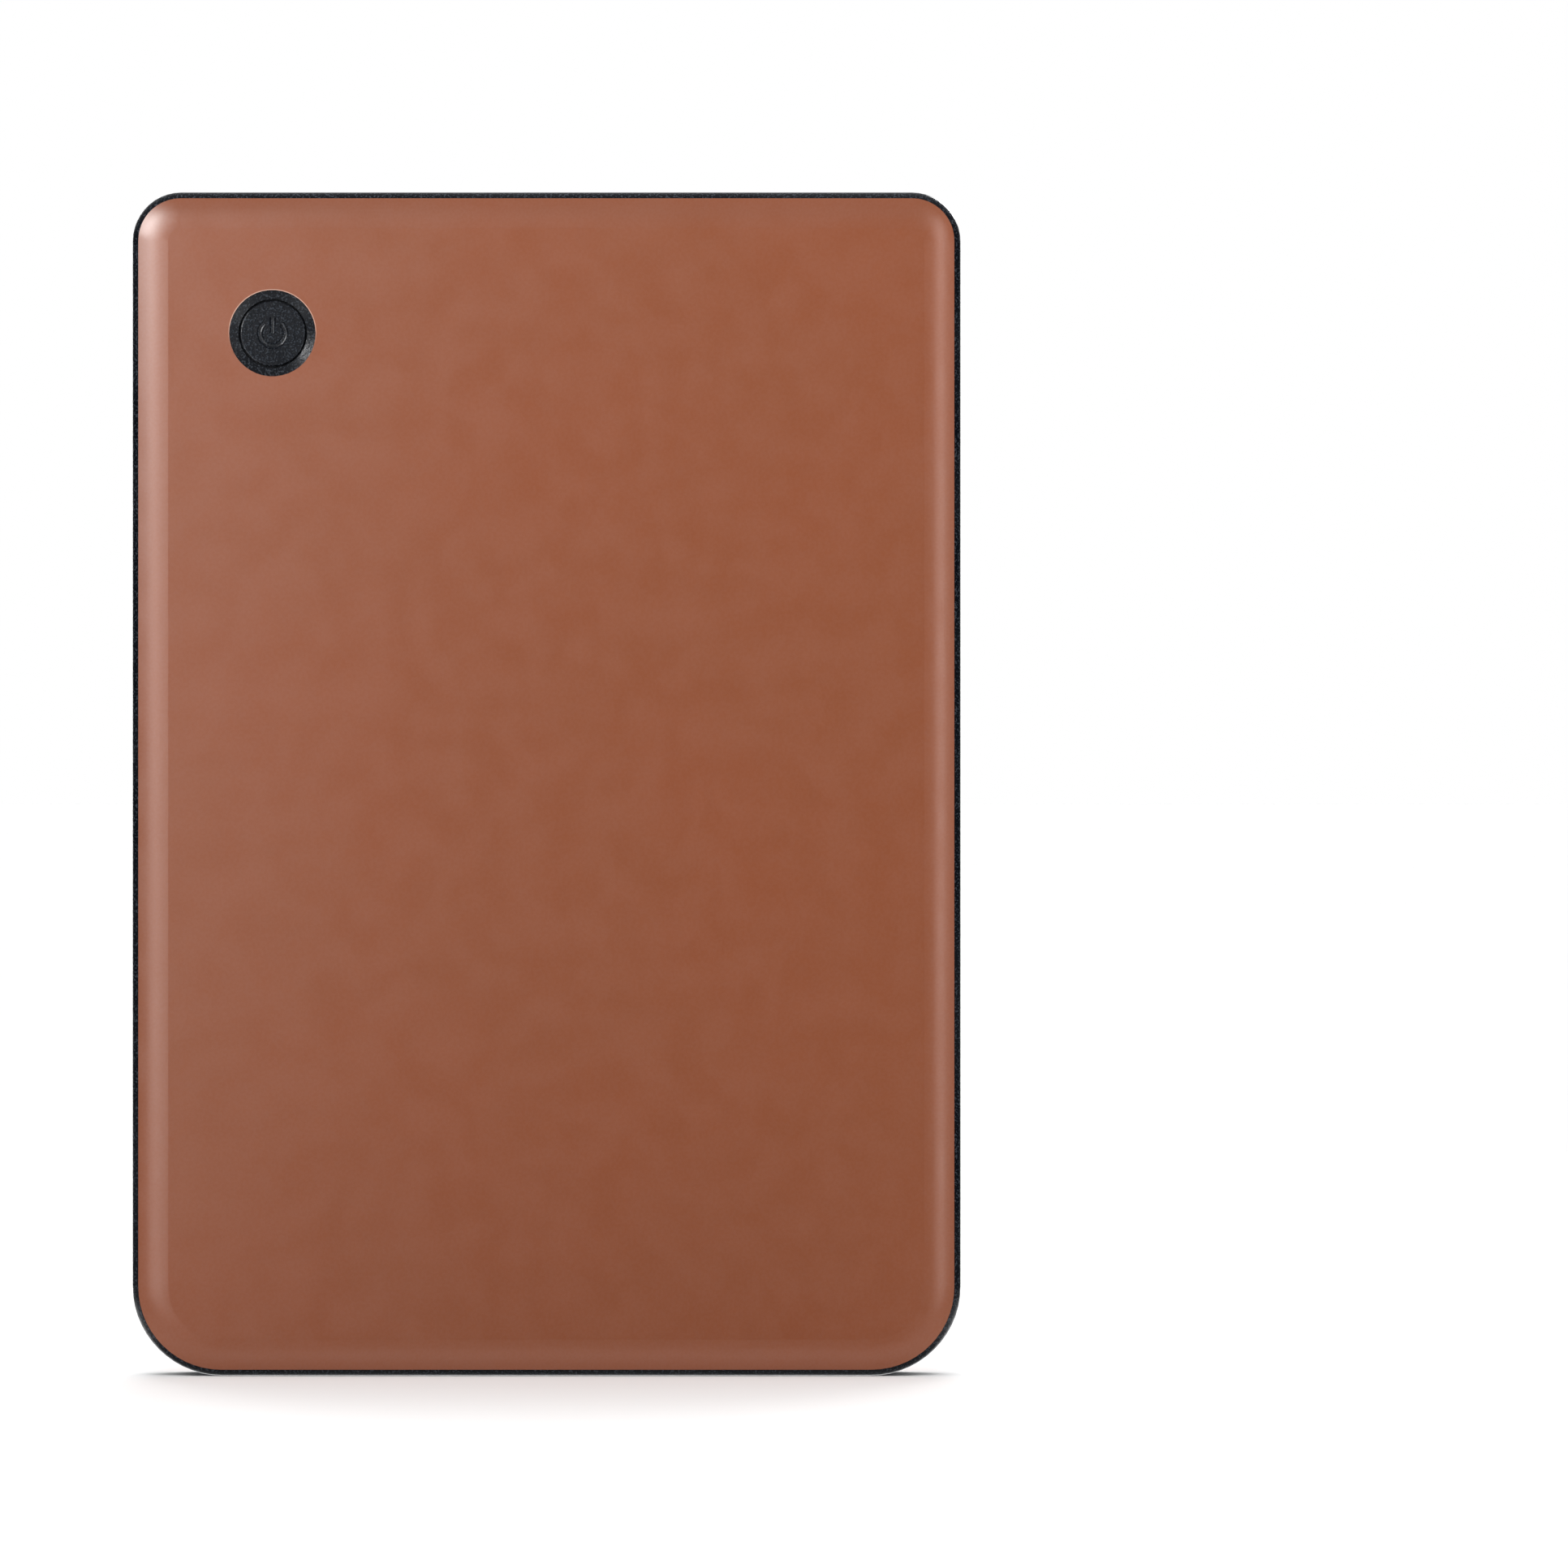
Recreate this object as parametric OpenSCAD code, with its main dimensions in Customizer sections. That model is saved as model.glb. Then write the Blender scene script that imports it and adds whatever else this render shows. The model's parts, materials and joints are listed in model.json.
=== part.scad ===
// E-reader with a colour e-paper screen and two vinyl skins.
// It is drawn lying on its back: x to the right, y towards the top edge, z towards the reader.
// upright() then stands it on its bottom edge with the screen facing -Y.

/* [Casing] */
// Width of the casing
body_w = 112; // [111:0.5:114]
// Height of the casing
body_h = 160; // [159.5:0.5:162]
// Thickness of the casing without its skins
body_t = 9.2; // [9.2:0.1:9.8]
// Radius of the two top corners
top_r = 6.6; // [6.4:0.1:7.4]
// Radius of the two bottom corners
bottom_r = 12.1; // [11:0.1:13]
// Wall thickness of the rear cover
wall = 1.3; // [1.2:0.05:1.35]
// Height of the front frame's rim, from the seam to the front face
rim_h = 2; // [1.9:0.05:2.1]
// Gap in the seam between the front frame and the rear cover
seam = 0.05; // [0.03:0.01:0.1]

/* [Edges] */
// Width of the curved border of the back
pillow_w = 5; // [4.8:0.1:5.4]
// Radius of the shallow curve that leaves the flat back
pillow_r = 12; // [11.5:0.1:13]
// Radius of the tight curve that meets the side wall
edge_r = 1.45; // [1.42:0.01:1.7]
// Radius of the front edge
front_edge_r = 0.8; // [0.6:0.05:0.9]

/* [Screen window] */
// Width of the front face beside the window
side_margin = 9.05; // [8.8:0.05:9.3]
// Width of the front face above the window
top_margin = 10.3; // [10:0.05:10.5]
// Width of the front face below the window
bottom_margin = 24.4; // [24:0.05:25]
// Width of the window's sloping wall
slope_w = 1.35; // [1.2:0.05:1.4]
// Depth of the window's sloping wall
slope_d = 1; // [0.9:0.05:1]
// Corner radius at the foot of the slope
window_r = 0.6; // [0.4:0.05:0.9]

/* [Skins] */
// Thickness of each vinyl skin
skin_t = 0.2; // [0.15:0.01:0.25]
// Layer of glue under a skin
skin_glue = 0.02; // [0.02:0.01:0.04]
// Plastic left bare round the rear skin
rear_bare = 0.9; // [0.9:0.05:1.2]
// Plastic left bare round the front skin
front_bare = 0.8; // [0.8:0.05:1]

/* [Power button] */
// Distance of the button's centre from the side edge
button_from_side = 19.05; // [18.8:0.05:19.3]
// Distance of the button's centre from the top edge
button_from_top = 19.15; // [18.9:0.05:19.4]
// Radius of the button's cap
cap_r = 4.41; // [4.3:0.01:4.5]
// Gap round the cap
cap_gap = 0.23; // [0.15:0.01:0.3]
// Radius of the dished ring round the cap, and of the hole in the skin
dish_r = 5.84; // [5.7:0.01:6]
// Depth of the dished ring
dish_d = 0.5; // [0.4:0.05:0.55]
// Travel of the button
travel = 0.35; // [0.2:0.05:0.35]

/* [Status light] */
// Distance of the light from the side edge
light_from_side = 19.35; // [19.1:0.05:19.6]
// Distance of the light from the top edge
light_from_top = 4.63; // [4.5:0.01:4.8]
// Radius of the light pipe
pipe_r = 0.66; // [0.6:0.01:0.7]
// Radius of its countersink in the front face
countersink_r = 0.87; // [0.8:0.01:0.95]

/* [USB port] */
// Width of the receptacle's shell
usb_w = 8.94; // [8.8:0.01:9]
// Height of the receptacle's shell
usb_h = 3.2; // [3.1:0.01:3.26]
// Length of the receptacle's shell
usb_l = 7.35; // [7:0.05:7.6]
// Room round the shell in the casing
usb_room = 0.25; // [0.2:0.01:0.25]

/* [Battery] */
// Width of the cell
cell_w = 74; // [66:1:74]
// Height of the cell
cell_h = 58; // [50:1:60]
// Thickness of the cell
cell_t = 2.7; // [2.4:0.1:2.8]

/* [Hidden] */
$fn = 96;

// A cut runs this far past the face that it opens
past = 0.5;
// Gap or overlap that only keeps two faces from coinciding
skim = 0.01;
// Ribs, collars and standoffs sink this far into what carries them
sink = 0.2;

// Depths, from the front face to the back
front_z = body_t / 2;
back_z = -body_t / 2;
split_z = front_z - rim_h;
plate_z = front_z - slope_d;
glue_t = 0.1;
touch_top = plate_z - glue_t;
guide_top = touch_top - 0.4;
paper_top = guide_top - 0.5;
glass_top = paper_top - 0.25;
foam_top = glass_top - 0.5;
chassis_front = foam_top - 0.2;
chassis_back = chassis_front - 0.75;
board_front = chassis_back - 0.7;
board_back = board_front - 0.8;
inner_back = back_z + wall;

// Curved border of the back: the tight arc touches the shallow arc from inside
apex_z = back_z + pillow_r;
border_angle = asin((pillow_w - edge_r) / (pillow_r - edge_r));
edge_z = apex_z - (pillow_r - edge_r) * cos(border_angle);

// Front frame: the lip reaches inside the rear cover's wall
lip_out = wall + 0.1;
lip_in = lip_out + 0.8;
lip_low = split_z - 1.4;
groove_out = 0.45;
groove_w = 0.5;
groove_d = 0.45;
gasket_slack = 0.02;
snap_l = 6;
snap_reach = 0.4;
snap_room = 0.15;
snap_low = lip_low + 0.1;
snap_high = split_z - 0.65;
pocket_room = 0.09;
snap_ys = [30, 55, 80, 105, 130];
top_snap_x = 28;
bottom_snap_x = 24;

// Window at the foot of its slope, and the middle of its corners
window_x = body_w / 2 - side_margin - slope_w;
window_low = bottom_margin + slope_w;
window_high = body_h - top_margin - slope_w;
slope = slope_w / slope_d;
flare_past = 0.1;

// Display stack
display_x = 47.4;
display_low = 19.5;
display_high = 150.4;
film_low = 24;
guide_low = 22;
film_inset = 0.2;
flex_t = 0.12;
flex_bend_r = 0.8;
flex_y = 17.3;
flex_end = 25.8;
flex_depth = board_back - 0.55;
display_flex_x = [-38, -10];
touch_flex_x = [13, 21];
light_flex_x = [31, 35];
flex_grip = 1.6;
slot_room = 1;
bar_z = paper_top + 0.02;
bar_gap = 0.05;

// Screws of the chassis
screw_r = 0.6;
screw_head_r = 1.4;
screw_head_h = 0.5;
screw_l = 2.2;
screw_floor = 0.2;
thread_room = 0.02;
hole_room = 0.1;
boss_r = 1.9;
chassis_screw_x = body_w / 2 - 5.4;
chassis_screw_ys = [26, 64, 102, 140];
top_screw_x = 17;
top_screw_y = body_h - 5.7;
bottom_screw_x = 28.9;
bottom_screw_y = 8.5;
chassis_inset = lip_in + 0.3;

// Boards
board_x = 46;
board_low = 20;
board_high = 58;
tab_x = 9;
tab_low = 2.8;
board_screws_at = [[-43, 24], [43, 24], [-43, 55], [34.5, 55], [-7, 12.5], [7, 12.5]];
small_screws_at = [[32, 136], [41.8, 153.6]];
board_screw_r = 0.5;
board_screw_head_r = 1.2;
board_screw_head_h = 0.45;
board_screw_l = 1.6;
standoff_r = 1.7;
small_board = [[29.5, 133.5], [44, 157]];
button_flex_x = [38.6, 42.6];

// Parts on the main board: their middles, and their width, height and thickness
processor_at = [-8, 44];
processor_size = [14, 14, 0.9];
memory_at = [7.5, 44];
memory_size = [10, 12, 0.85];
storage_at = [27, 42];
storage_size = [11.5, 13, 0.85];
power_at = [-22.5, 48];
power_size = [6, 6, 0.85];
charger_at = [-22.5, 39];
charger_size = [5, 5, 0.85];
wifi_at = [-35.5, 43.5];
wifi_size = [13, 13, 0.4];
wifi_can_h = 1.3;
shield_low = [-16.5, 35.5];
shield_high = [14, 52.5];
shield_h = 1.2;
antenna_plug_at = [-33.5, 46];

// Ribs inside the back
rib_w = 0.8;
rib_h = 0.6;
level_rib_x = 38;
level_rib_ys = [70, 120];
upright_rib_xs = [-34, 34 - rib_w];
upright_rib_ys = [62, 128];
port_rib_xs = [-24, 8];
port_rib_ys = [10, 18];

// Power button, its collar in the cover and its switch
button_x = body_w / 2 - button_from_side;
button_y = body_h - button_from_top;
cap_face = back_z + 0.3;
cap_edge_r = 0.2;
bore_r = cap_r + cap_gap;
seat_z = back_z + 1.2;
flange_r = 5.3;
flange_low = seat_z + 0.2;
flange_high = flange_low + 0.45;
seat_r = 5.7;
collar_r = 7.4;
collar_z = flange_high + travel + 0.1;
stem_r = 1.05;
stake_r = 0.4;
stake_at = 6.55;
stake_proud = 0.15;
retainer_t = 0.2;
plunger_tip = collar_z + 0.1;
stem_gap = 0.04;
icon_r = 1.72;
icon_gap = 42;
icon_line = 0.84;
icon_depth = 0.26;
icon_groove_r = (icon_line * icon_line / 4 + icon_depth * icon_depth) / (2 * icon_depth);
groove_lift = icon_groove_r - icon_depth;

// Status light
light_x = body_w / 2 - light_from_side;
light_y = body_h - light_from_top;
pipe_room = 0.05;
countersink_d = 0.2;

// USB receptacle
usb_z = split_z - 0.45 - usb_h / 2 - usb_room;
usb_front = 0.5;
usb_wall = 0.3;
port_notch_x = 7;
tongue_w = 6.69;
tongue_t = 0.7;

// Battery, its board and its lead
cell_low = 66;
cell_back = chassis_back - glue_t - cell_t;
lead_xs = [18, 20, 22];
lead_r = 0.35;
lead_z = board_back - 0.7;
plug_left = 15.8;
plug_right = 24.2;
plug_y = 0.45;
plug_low = 53.2;
plug_high = 58.4;

// Stands a piece on the casing's bottom edge
module upright() {
    rotate([90, 0, 0]) children();
}

// Box between two corners
module box(low, high) {
    translate(low) cube(high - low);
}

// Plate with the outline of its children, between two depths
module plate(low, high) {
    translate([0, 0, low]) linear_extrude(high - low) children();
}

// Rectangle between two corners with rounded corners
module round_rect(low, high, r) {
    translate([low.x + r, low.y]) square([high.x - low.x - 2 * r, high.y - low.y]);
    translate([low.x, low.y + r]) square([high.x - low.x, high.y - low.y - 2 * r]);
    for (x = [low.x + r, high.x - r], y = [low.y + r, high.y - r]) translate([x, y]) circle(r);
}

// Slot shape with round ends, centred
module stadium(w, h) {
    square([w - h, h], center = true);
    for (side = [-1, 1]) translate([side * (w - h) / 2, 0]) circle(h / 2);
}

// Outline of the casing, moved in by inset
module outline(inset) {
    side = body_w / 2 - inset;
    top = body_h - inset;
    rt = top_r - inset;
    rb = bottom_r - inset;
    translate([-side, inset + rb]) square([2 * side, top - rt - inset - rb]);
    translate([rt - side, top - rt]) square([2 * (side - rt), rt]);
    translate([rb - side, inset]) square([2 * (side - rb), rb]);
    for (s = [-1, 1]) {
        translate([s * (side - rt), top - rt]) circle(rt);
        translate([s * (side - rb), inset + rb]) circle(rb);
    }
}

// Quarter turn of a profile, whose x runs inwards from radius r
module corner(r, turn) {
    rotate([0, 0, turn]) rotate_extrude(angle = 90) translate([r, 0]) mirror([1, 0]) children();
}

// Straight run of a profile along the right side, centred on y
module side_run(y, length) {
    translate([body_w / 2, y + length / 2, 0]) rotate([90, 0, 0])
        linear_extrude(length) mirror([1, 0]) children();
}

// Straight run of a profile along the top edge, centred on x
module top_run(x, length) {
    translate([x - length / 2, body_h, 0]) rotate([90, 0, 90])
        linear_extrude(length) mirror([1, 0]) children();
}

// Straight run of a profile along the bottom edge, centred on x
module bottom_run(x, length) {
    translate([x - length / 2, 0, 0]) rotate([90, 0, 90]) linear_extrude(length) children();
}

// Sweeps a profile round the casing: its x runs inwards from the outline, its y is the depth
module sweep() {
    side_l = body_h - top_r - bottom_r;
    for (side = [0, 1]) mirror([side, 0, 0]) {
        translate([body_w / 2 - top_r, body_h - top_r, 0]) corner(top_r, 0) children();
        translate([body_w / 2 - bottom_r, bottom_r, 0]) corner(bottom_r, -90) children();
        side_run(bottom_r + side_l / 2, side_l) children();
    }
    top_run(0, body_w - 2 * top_r) children();
    bottom_run(0, body_w - 2 * bottom_r) children();
}

// Short run of a profile at each snap hook
module at_snaps(length) {
    for (side = [0, 1]) mirror([side, 0, 0]) {
        for (y = snap_ys) side_run(y, length) children();
        top_run(top_snap_x, length) children();
        bottom_run(bottom_snap_x, length) children();
    }
}

// Section of the cover's edge, grown outwards by grow, up to the depth top
module back_profile(grow, top) {
    reach = 1.3 * pillow_r;
    intersection() {
        translate([-grow, back_z - 2 * past]) square([pillow_w + grow, top - back_z + 2 * past]);
        union() {
            translate([-grow, edge_z]) square([pillow_w + grow, top - edge_z]);
            translate([edge_r, edge_z]) circle(edge_r + grow);
            intersection() {
                translate([pillow_w, apex_z]) circle(pillow_r + grow);
                polygon([
                    [pillow_w, apex_z],
                    [pillow_w, apex_z - reach],
                    [pillow_w - reach * sin(border_angle), apex_z - reach * cos(border_angle)]
                ]);
            }
        }
    }
}

// Solid with the cover's outside shape, grown outwards by grow
module tub(grow, top) {
    sweep() back_profile(grow, top);
    plate(back_z - grow, top) outline(pillow_w);
}

// Window that widens towards the reader, between two depths
module flared_window(low, high) {
    r_low = window_r + (low - plate_z) * slope;
    r_high = window_r + (high - plate_z) * slope;
    x = window_x - window_r;
    y_low = window_low + window_r;
    y_high = window_high - window_r;
    for (cx = [-x, x], cy = [y_low, y_high])
        translate([cx, cy, low]) cylinder(h = high - low, r1 = r_low, r2 = r_high);
    translate([0, y_high, 0]) rotate([90, 0, 0]) linear_extrude(y_high - y_low) polygon([
        [-x - r_low, low], [x + r_low, low], [x + r_high, high], [-x - r_high, high]
    ]);
    translate([-x, 0, 0]) rotate([90, 0, 90]) linear_extrude(2 * x) polygon([
        [y_low - r_low, low], [y_high + r_low, low], [y_high + r_high, high], [y_low - r_high, high]
    ]);
}

// Hole in a skin or plate with the window's front outline
module window_outline(low, high) {
    plate(low, high) round_rect(
        [-window_x - slope_w, window_low - slope_w],
        [window_x + slope_w, window_high + slope_w],
        window_r + slope_w
    );
}

// Children at every screw of the chassis
module at_chassis_screws() {
    for (side = [-1, 1]) {
        for (y = chassis_screw_ys) translate([side * chassis_screw_x, y, 0]) children();
        translate([side * top_screw_x, top_screw_y, 0]) children();
        translate([side * bottom_screw_x, bottom_screw_y, 0]) children();
    }
}

// Children at every standoff of the chassis, where a board is screwed down
module at_standoffs() {
    for (p = concat(board_screws_at, small_screws_at)) translate([p.x, p.y, 0]) children();
}

// Screw whose head lies behind the depth seat and whose shank points to the reader
module screw(seat, r, head_r, head_h, length) {
    cross_l = 1.2 * head_r;
    cross_w = 0.35;
    cross_d = 0.25;
    translate([0, 0, seat]) difference() {
        union() {
            translate([0, 0, -head_h]) cylinder(h = head_h, r = head_r);
            cylinder(h = length, r = r);
        }
        for (turn = [0, 90]) rotate([0, 0, turn])
            box([-cross_l / 2, -cross_w / 2, -head_h - past], [cross_l / 2, cross_w / 2, cross_d - head_h]);
    }
}

// Box on the back of a board, from its middle and its width, height and thickness
module on_board(middle, size) {
    translate([middle.x - size.x / 2, middle.y - size.y / 2, board_back - size.z]) cube(size);
}

// Chip on the back of a board, with a dimple at its first pin
module chip(middle, size) {
    dimple_r = 0.4;
    dimple_d = 0.1;
    dimple_in = 1.2;
    x = middle.x - size.x / 2 + dimple_in;
    y = middle.y + size.y / 2 - dimple_in;
    difference() {
        on_board(middle, size);
        translate([x, y, board_back - size.z - past]) cylinder(h = dimple_d + past, r = dimple_r);
    }
}

// Ribbon that leaves a layer of the display, turns round the chassis and enters its socket
module ribbon(xs, top, start) {
    middle = flex_y + flex_bend_r;
    high = top + flex_t - flex_bend_r;
    low = flex_depth + flex_bend_r;
    translate([xs[0], 0, 0]) rotate([90, 0, 90]) linear_extrude(xs[1] - xs[0]) {
        translate([middle, top]) square([start - middle, flex_t]);
        translate([middle, flex_depth]) square([flex_end - middle, flex_t]);
        translate([flex_y, low]) square([flex_t, high - low]);
        translate([middle, high]) bend(90);
        translate([middle, low]) bend(180);
    }
}

// Quarter of a flat ring
module bend(turn) {
    rotate(turn) difference() {
        intersection() {
            circle(flex_bend_r);
            square(flex_bend_r);
        }
        circle(flex_bend_r - flex_t);
    }
}

// Socket for a ribbon: a housing with a slot and a flip latch
module flex_socket(xs) {
    side = 0.8;
    slack = 0.06;
    tip_room = 0.2;
    low = 24;
    high = 27.2;
    latch_low = 26.4;
    latch_high = 28;
    back = board_back - 1.05;
    latch_back = back - 0.2;
    latch_front = board_back - 0.3;
    difference() {
        union() {
            box([xs[0] - side, low, back], [xs[1] + side, high, board_back]);
            box([xs[0] - side / 2, latch_low, latch_back], [xs[1] + side / 2, latch_high, latch_front]);
        }
        box(
            [xs[0] - slack, low - past, flex_depth - slack],
            [xs[1] + slack, flex_end + tip_room, flex_depth + flex_t + slack]
        );
    }
}

// Vinyl skins

module front_skin() {
    color("#96603f") upright() difference() {
        plate(front_z + skin_glue, front_z + skin_glue + skin_t) outline(front_bare);
        window_outline(front_z - past, front_z + past);
        translate([light_x, light_y, front_z - past]) cylinder(h = 2 * past, r = countersink_r);
    }
}

module skin_profile() {
    intersection() {
        translate([rear_bare, back_z - 2 * past]) square([pillow_w - rear_bare, edge_z - back_z + 2 * past]);
        difference() {
            back_profile(skin_glue + skin_t, split_z);
            back_profile(skin_glue, split_z + past);
        }
    }
}

module rear_skin() {
    color("#96603f") upright() difference() {
        union() {
            sweep() skin_profile();
            plate(back_z - skin_glue - skin_t, back_z - skin_glue) outline(pillow_w);
        }
        translate([button_x, button_y, back_z - past]) cylinder(h = 2 * past, r = dish_r);
    }
}

// Casing

module frame_profile() {
    translate([front_edge_r, front_z - front_edge_r]) circle(front_edge_r);
    translate([0, split_z + seam]) square([lip_in, rim_h - seam - front_edge_r]);
    translate([front_edge_r, split_z + seam]) square([lip_in - front_edge_r, rim_h - seam]);
    translate([front_edge_r, plate_z]) square([pillow_w - front_edge_r, slope_d]);
    translate([lip_out, lip_low]) square([lip_in - lip_out, split_z + past - lip_low]);
}

module hook_profile() {
    root = lip_out + sink;
    slant = 0.25;
    polygon([
        [root, snap_low],
        [lip_out - snap_reach, snap_low + slant],
        [lip_out - snap_reach, snap_high - slant / 2],
        [root, snap_high]
    ]);
}

module front_frame() {
    hole_h = plate_z - chassis_front - screw_floor;
    color("#202226") upright() difference() {
        union() {
            sweep() frame_profile();
            plate(plate_z, front_z) outline(pillow_w);
            at_snaps(snap_l) hook_profile();
            at_chassis_screws() translate([0, 0, chassis_front])
                cylinder(h = plate_z - chassis_front, r = boss_r);
        }
        flared_window(plate_z - flare_past, front_z + flare_past);
        at_chassis_screws() translate([0, 0, chassis_front - past])
            cylinder(h = hole_h + past, r = screw_r + thread_room);
        translate([light_x, light_y, plate_z - past])
            cylinder(h = slope_d + 2 * past, r = pipe_r + pipe_room);
        translate([light_x, light_y, front_z - countersink_d])
            cylinder(h = countersink_d + skim, r1 = pipe_r + pipe_room, r2 = countersink_r);
        box([-port_notch_x, wall, lip_low - past], [port_notch_x, lip_in + skim, split_z + seam]);
    }
}

module pocket_profile() {
    translate([lip_out - snap_reach - snap_room, snap_low - snap_room])
        square([wall, snap_high - snap_low + snap_room + pocket_room]);
}

// Rib on the inside of the back, between two corners
module rib(low, high) {
    box([low.x, low.y, inner_back - sink], [high.x, high.y, inner_back + rib_h]);
}

// Ribs round the battery's foam pad and beside the USB port
module back_ribs() {
    for (y = level_rib_ys) rib([-level_rib_x, y], [level_rib_x, y + rib_w]);
    for (x = upright_rib_xs) rib([x, upright_rib_ys[0]], [x + rib_w, upright_rib_ys[1]]);
    for (x = port_rib_xs) rib([x, port_rib_ys[0]], [x + rib_w, port_rib_ys[1]]);
}

// Ring inside the cover that guides the power button and carries its retainer
module button_collar() {
    translate([button_x, button_y, inner_back - sink])
        cylinder(h = collar_z - inner_back + sink, r = collar_r);
    translate([button_x, button_y, collar_z - sink]) at_stakes()
        cylinder(h = sink + retainer_t + stake_proud, r = stake_r, $fn = 32);
}

// Children at the three stakes that hold the retainer
module at_stakes() {
    for (turn = [30, 150, 270]) rotate([0, 0, turn]) translate([stake_at, 0, 0]) children();
}

module button_bore() {
    translate([button_x, button_y, back_z]) {
        translate([0, 0, -past]) cylinder(h = wall + 2 * past, r = bore_r);
        translate([0, 0, -skim]) cylinder(h = dish_d + skim, r1 = dish_r, r2 = bore_r);
        translate([0, 0, seat_z - back_z]) cylinder(h = collar_z - seat_z + past, r = seat_r);
    }
}

module rear_cover() {
    color("#1d1f23") upright() difference() {
        union() {
            difference() {
                tub(0, split_z);
                tub(-wall, split_z + past);
            }
            back_ribs();
            button_collar();
        }
        sweep() translate([groove_out, split_z - groove_d]) square([groove_w, groove_d + past]);
        at_snaps(snap_l + 4 * snap_room) pocket_profile();
        button_bore();
        translate([0, -past, usb_z]) rotate([-90, 0, 0]) linear_extrude(wall + 2 * past)
            stadium(usb_w + 2 * usb_room, usb_h + 2 * usb_room);
    }
}

module frame_gasket() {
    color("#4a4d52") upright() sweep()
        translate([groove_out + gasket_slack, split_z - groove_d + gasket_slack])
            square([groove_w - 2 * gasket_slack, groove_d + seam - 2 * gasket_slack]);
}

// Power button

// Round-bottomed grooves of the icon: a ring open at the top, and a stroke in its opening
module power_icon() {
    translate([0, 0, cap_face - groove_lift]) {
        rotate([0, 0, 90 + icon_gap]) rotate_extrude(angle = 360 - 2 * icon_gap)
            translate([icon_r, 0]) circle(icon_groove_r);
        rotate([-90, 0, 0]) cylinder(h = icon_r + icon_line / 2, r = icon_groove_r);
    }
}

module power_button() {
    color("#24262a") upright() translate([button_x, button_y, 0]) difference() {
        rotate_extrude() {
            translate([0, cap_face]) square([cap_r - cap_edge_r, flange_low - cap_face]);
            translate([0, cap_face + cap_edge_r]) square([cap_r, flange_low - cap_face - cap_edge_r]);
            intersection() {
                translate([cap_r - cap_edge_r, cap_face + cap_edge_r]) circle(cap_edge_r);
                translate([0, cap_face]) square([cap_r, flange_low - cap_face]);
            }
            translate([0, flange_low]) square([flange_r, flange_high - flange_low]);
            translate([0, flange_high]) square([stem_r, plunger_tip - stem_gap - flange_high]);
        }
        power_icon();
    }
}

module button_seal() {
    seal_t = 0.17;
    hole_room = 0.1;
    rim_over = 0.2;
    color("#6d7075") upright() translate([button_x, button_y, seat_z + skim]) difference() {
        cylinder(h = seal_t, r = flange_r + rim_over);
        translate([0, 0, -past]) cylinder(h = seal_t + 2 * past, r = bore_r + hole_room);
    }
}

module button_retainer() {
    hole_r = 3.6;
    edge_gap = 0.1;
    stake_room = 0.05;
    color("#b8bcc0") upright() translate([button_x, button_y, collar_z]) difference() {
        cylinder(h = retainer_t, r = collar_r - edge_gap);
        translate([0, 0, -past]) cylinder(h = retainer_t + 2 * past, r = hole_r);
        translate([0, 0, -past]) at_stakes()
            cylinder(h = retainer_t + 2 * past, r = stake_r + stake_room, $fn = 32);
    }
}

module light_pipe() {
    low = chassis_back + pipe_room;
    high = front_z - countersink_d;
    flange_t = 0.45;
    dimple_d = 0.3;
    color("#8fa3b8") upright() translate([light_x, light_y, 0]) difference() {
        union() {
            translate([0, 0, low]) cylinder(h = high - low, r = pipe_r);
            translate([0, 0, plate_z - pipe_room - flange_t]) cylinder(h = flange_t, r = 2 * pipe_r);
        }
        translate([0, 0, high - dimple_d]) cylinder(h = dimple_d + past, r = pipe_r / 2);
    }
}

// Display

// Rectangle over the whole display, moved in by inset, from the height low
module display_shape(inset, low, r) {
    round_rect([inset - display_x, low], [display_x - inset, display_high - inset], r);
}

module display_adhesive() {
    margin = 0.4;
    color("#101114") upright() difference() {
        plate(touch_top, plate_z) display_shape(0, display_low, 1);
        plate(touch_top - past, plate_z + past) round_rect(
            [-window_x - margin, window_low - margin], [window_x + margin, window_high + margin], 1
        );
    }
}

module touch_film() {
    color("#d8dadb") upright() plate(guide_top, touch_top) display_shape(0, display_low, 1);
}

module light_guide() {
    color("#e6edf2") upright() plate(paper_top, guide_top) display_shape(film_inset, guide_low, 0.8);
}

module light_bar_flex() {
    bar_x = 45;
    bar_r = 0.3;
    tail = 1;
    color("#c8873a") upright() {
        plate(bar_z, bar_z + flex_t)
            round_rect([-bar_x, display_low + film_inset], [bar_x, guide_low - bar_gap], bar_r);
        ribbon(light_flex_x, bar_z, guide_low - tail);
    }
}

module light_bar_leds() {
    led = [3, 0.75, 0.3];
    color("#f2e9b8") upright() for (x = [-42:7:42])
        translate([x - led.x / 2, guide_low - bar_gap - led.y, bar_z + flex_t]) cube(led);
}

module epaper_film() {
    color("#dcdcd8") upright() plate(glass_top, paper_top) display_shape(film_inset, film_low, 0.8);
}

module backplane_glass() {
    color("#6f7c78") upright() plate(foam_top, glass_top) display_shape(0, display_low, 0.5);
}

module driver_chips() {
    driver = [16, 1.4, paper_top - glass_top];
    below_film = 2.2;
    color("#34363a") upright() for (x = [-31, -11, 9, 29])
        translate([x - driver.x / 2, film_low - below_film, glass_top]) cube(driver);
}

module display_flex() {
    color("#b9762f") upright() ribbon(display_flex_x, glass_top, display_low + flex_grip);
}

module touch_flex() {
    color("#b9762f") upright() ribbon(touch_flex_x, guide_top - flex_t, display_low + flex_grip);
}

module display_foam() {
    foam_inset = 1;
    color("#3b3d40") upright() plate(chassis_front + skim, foam_top)
        display_shape(foam_inset, film_low, 1);
}

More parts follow.
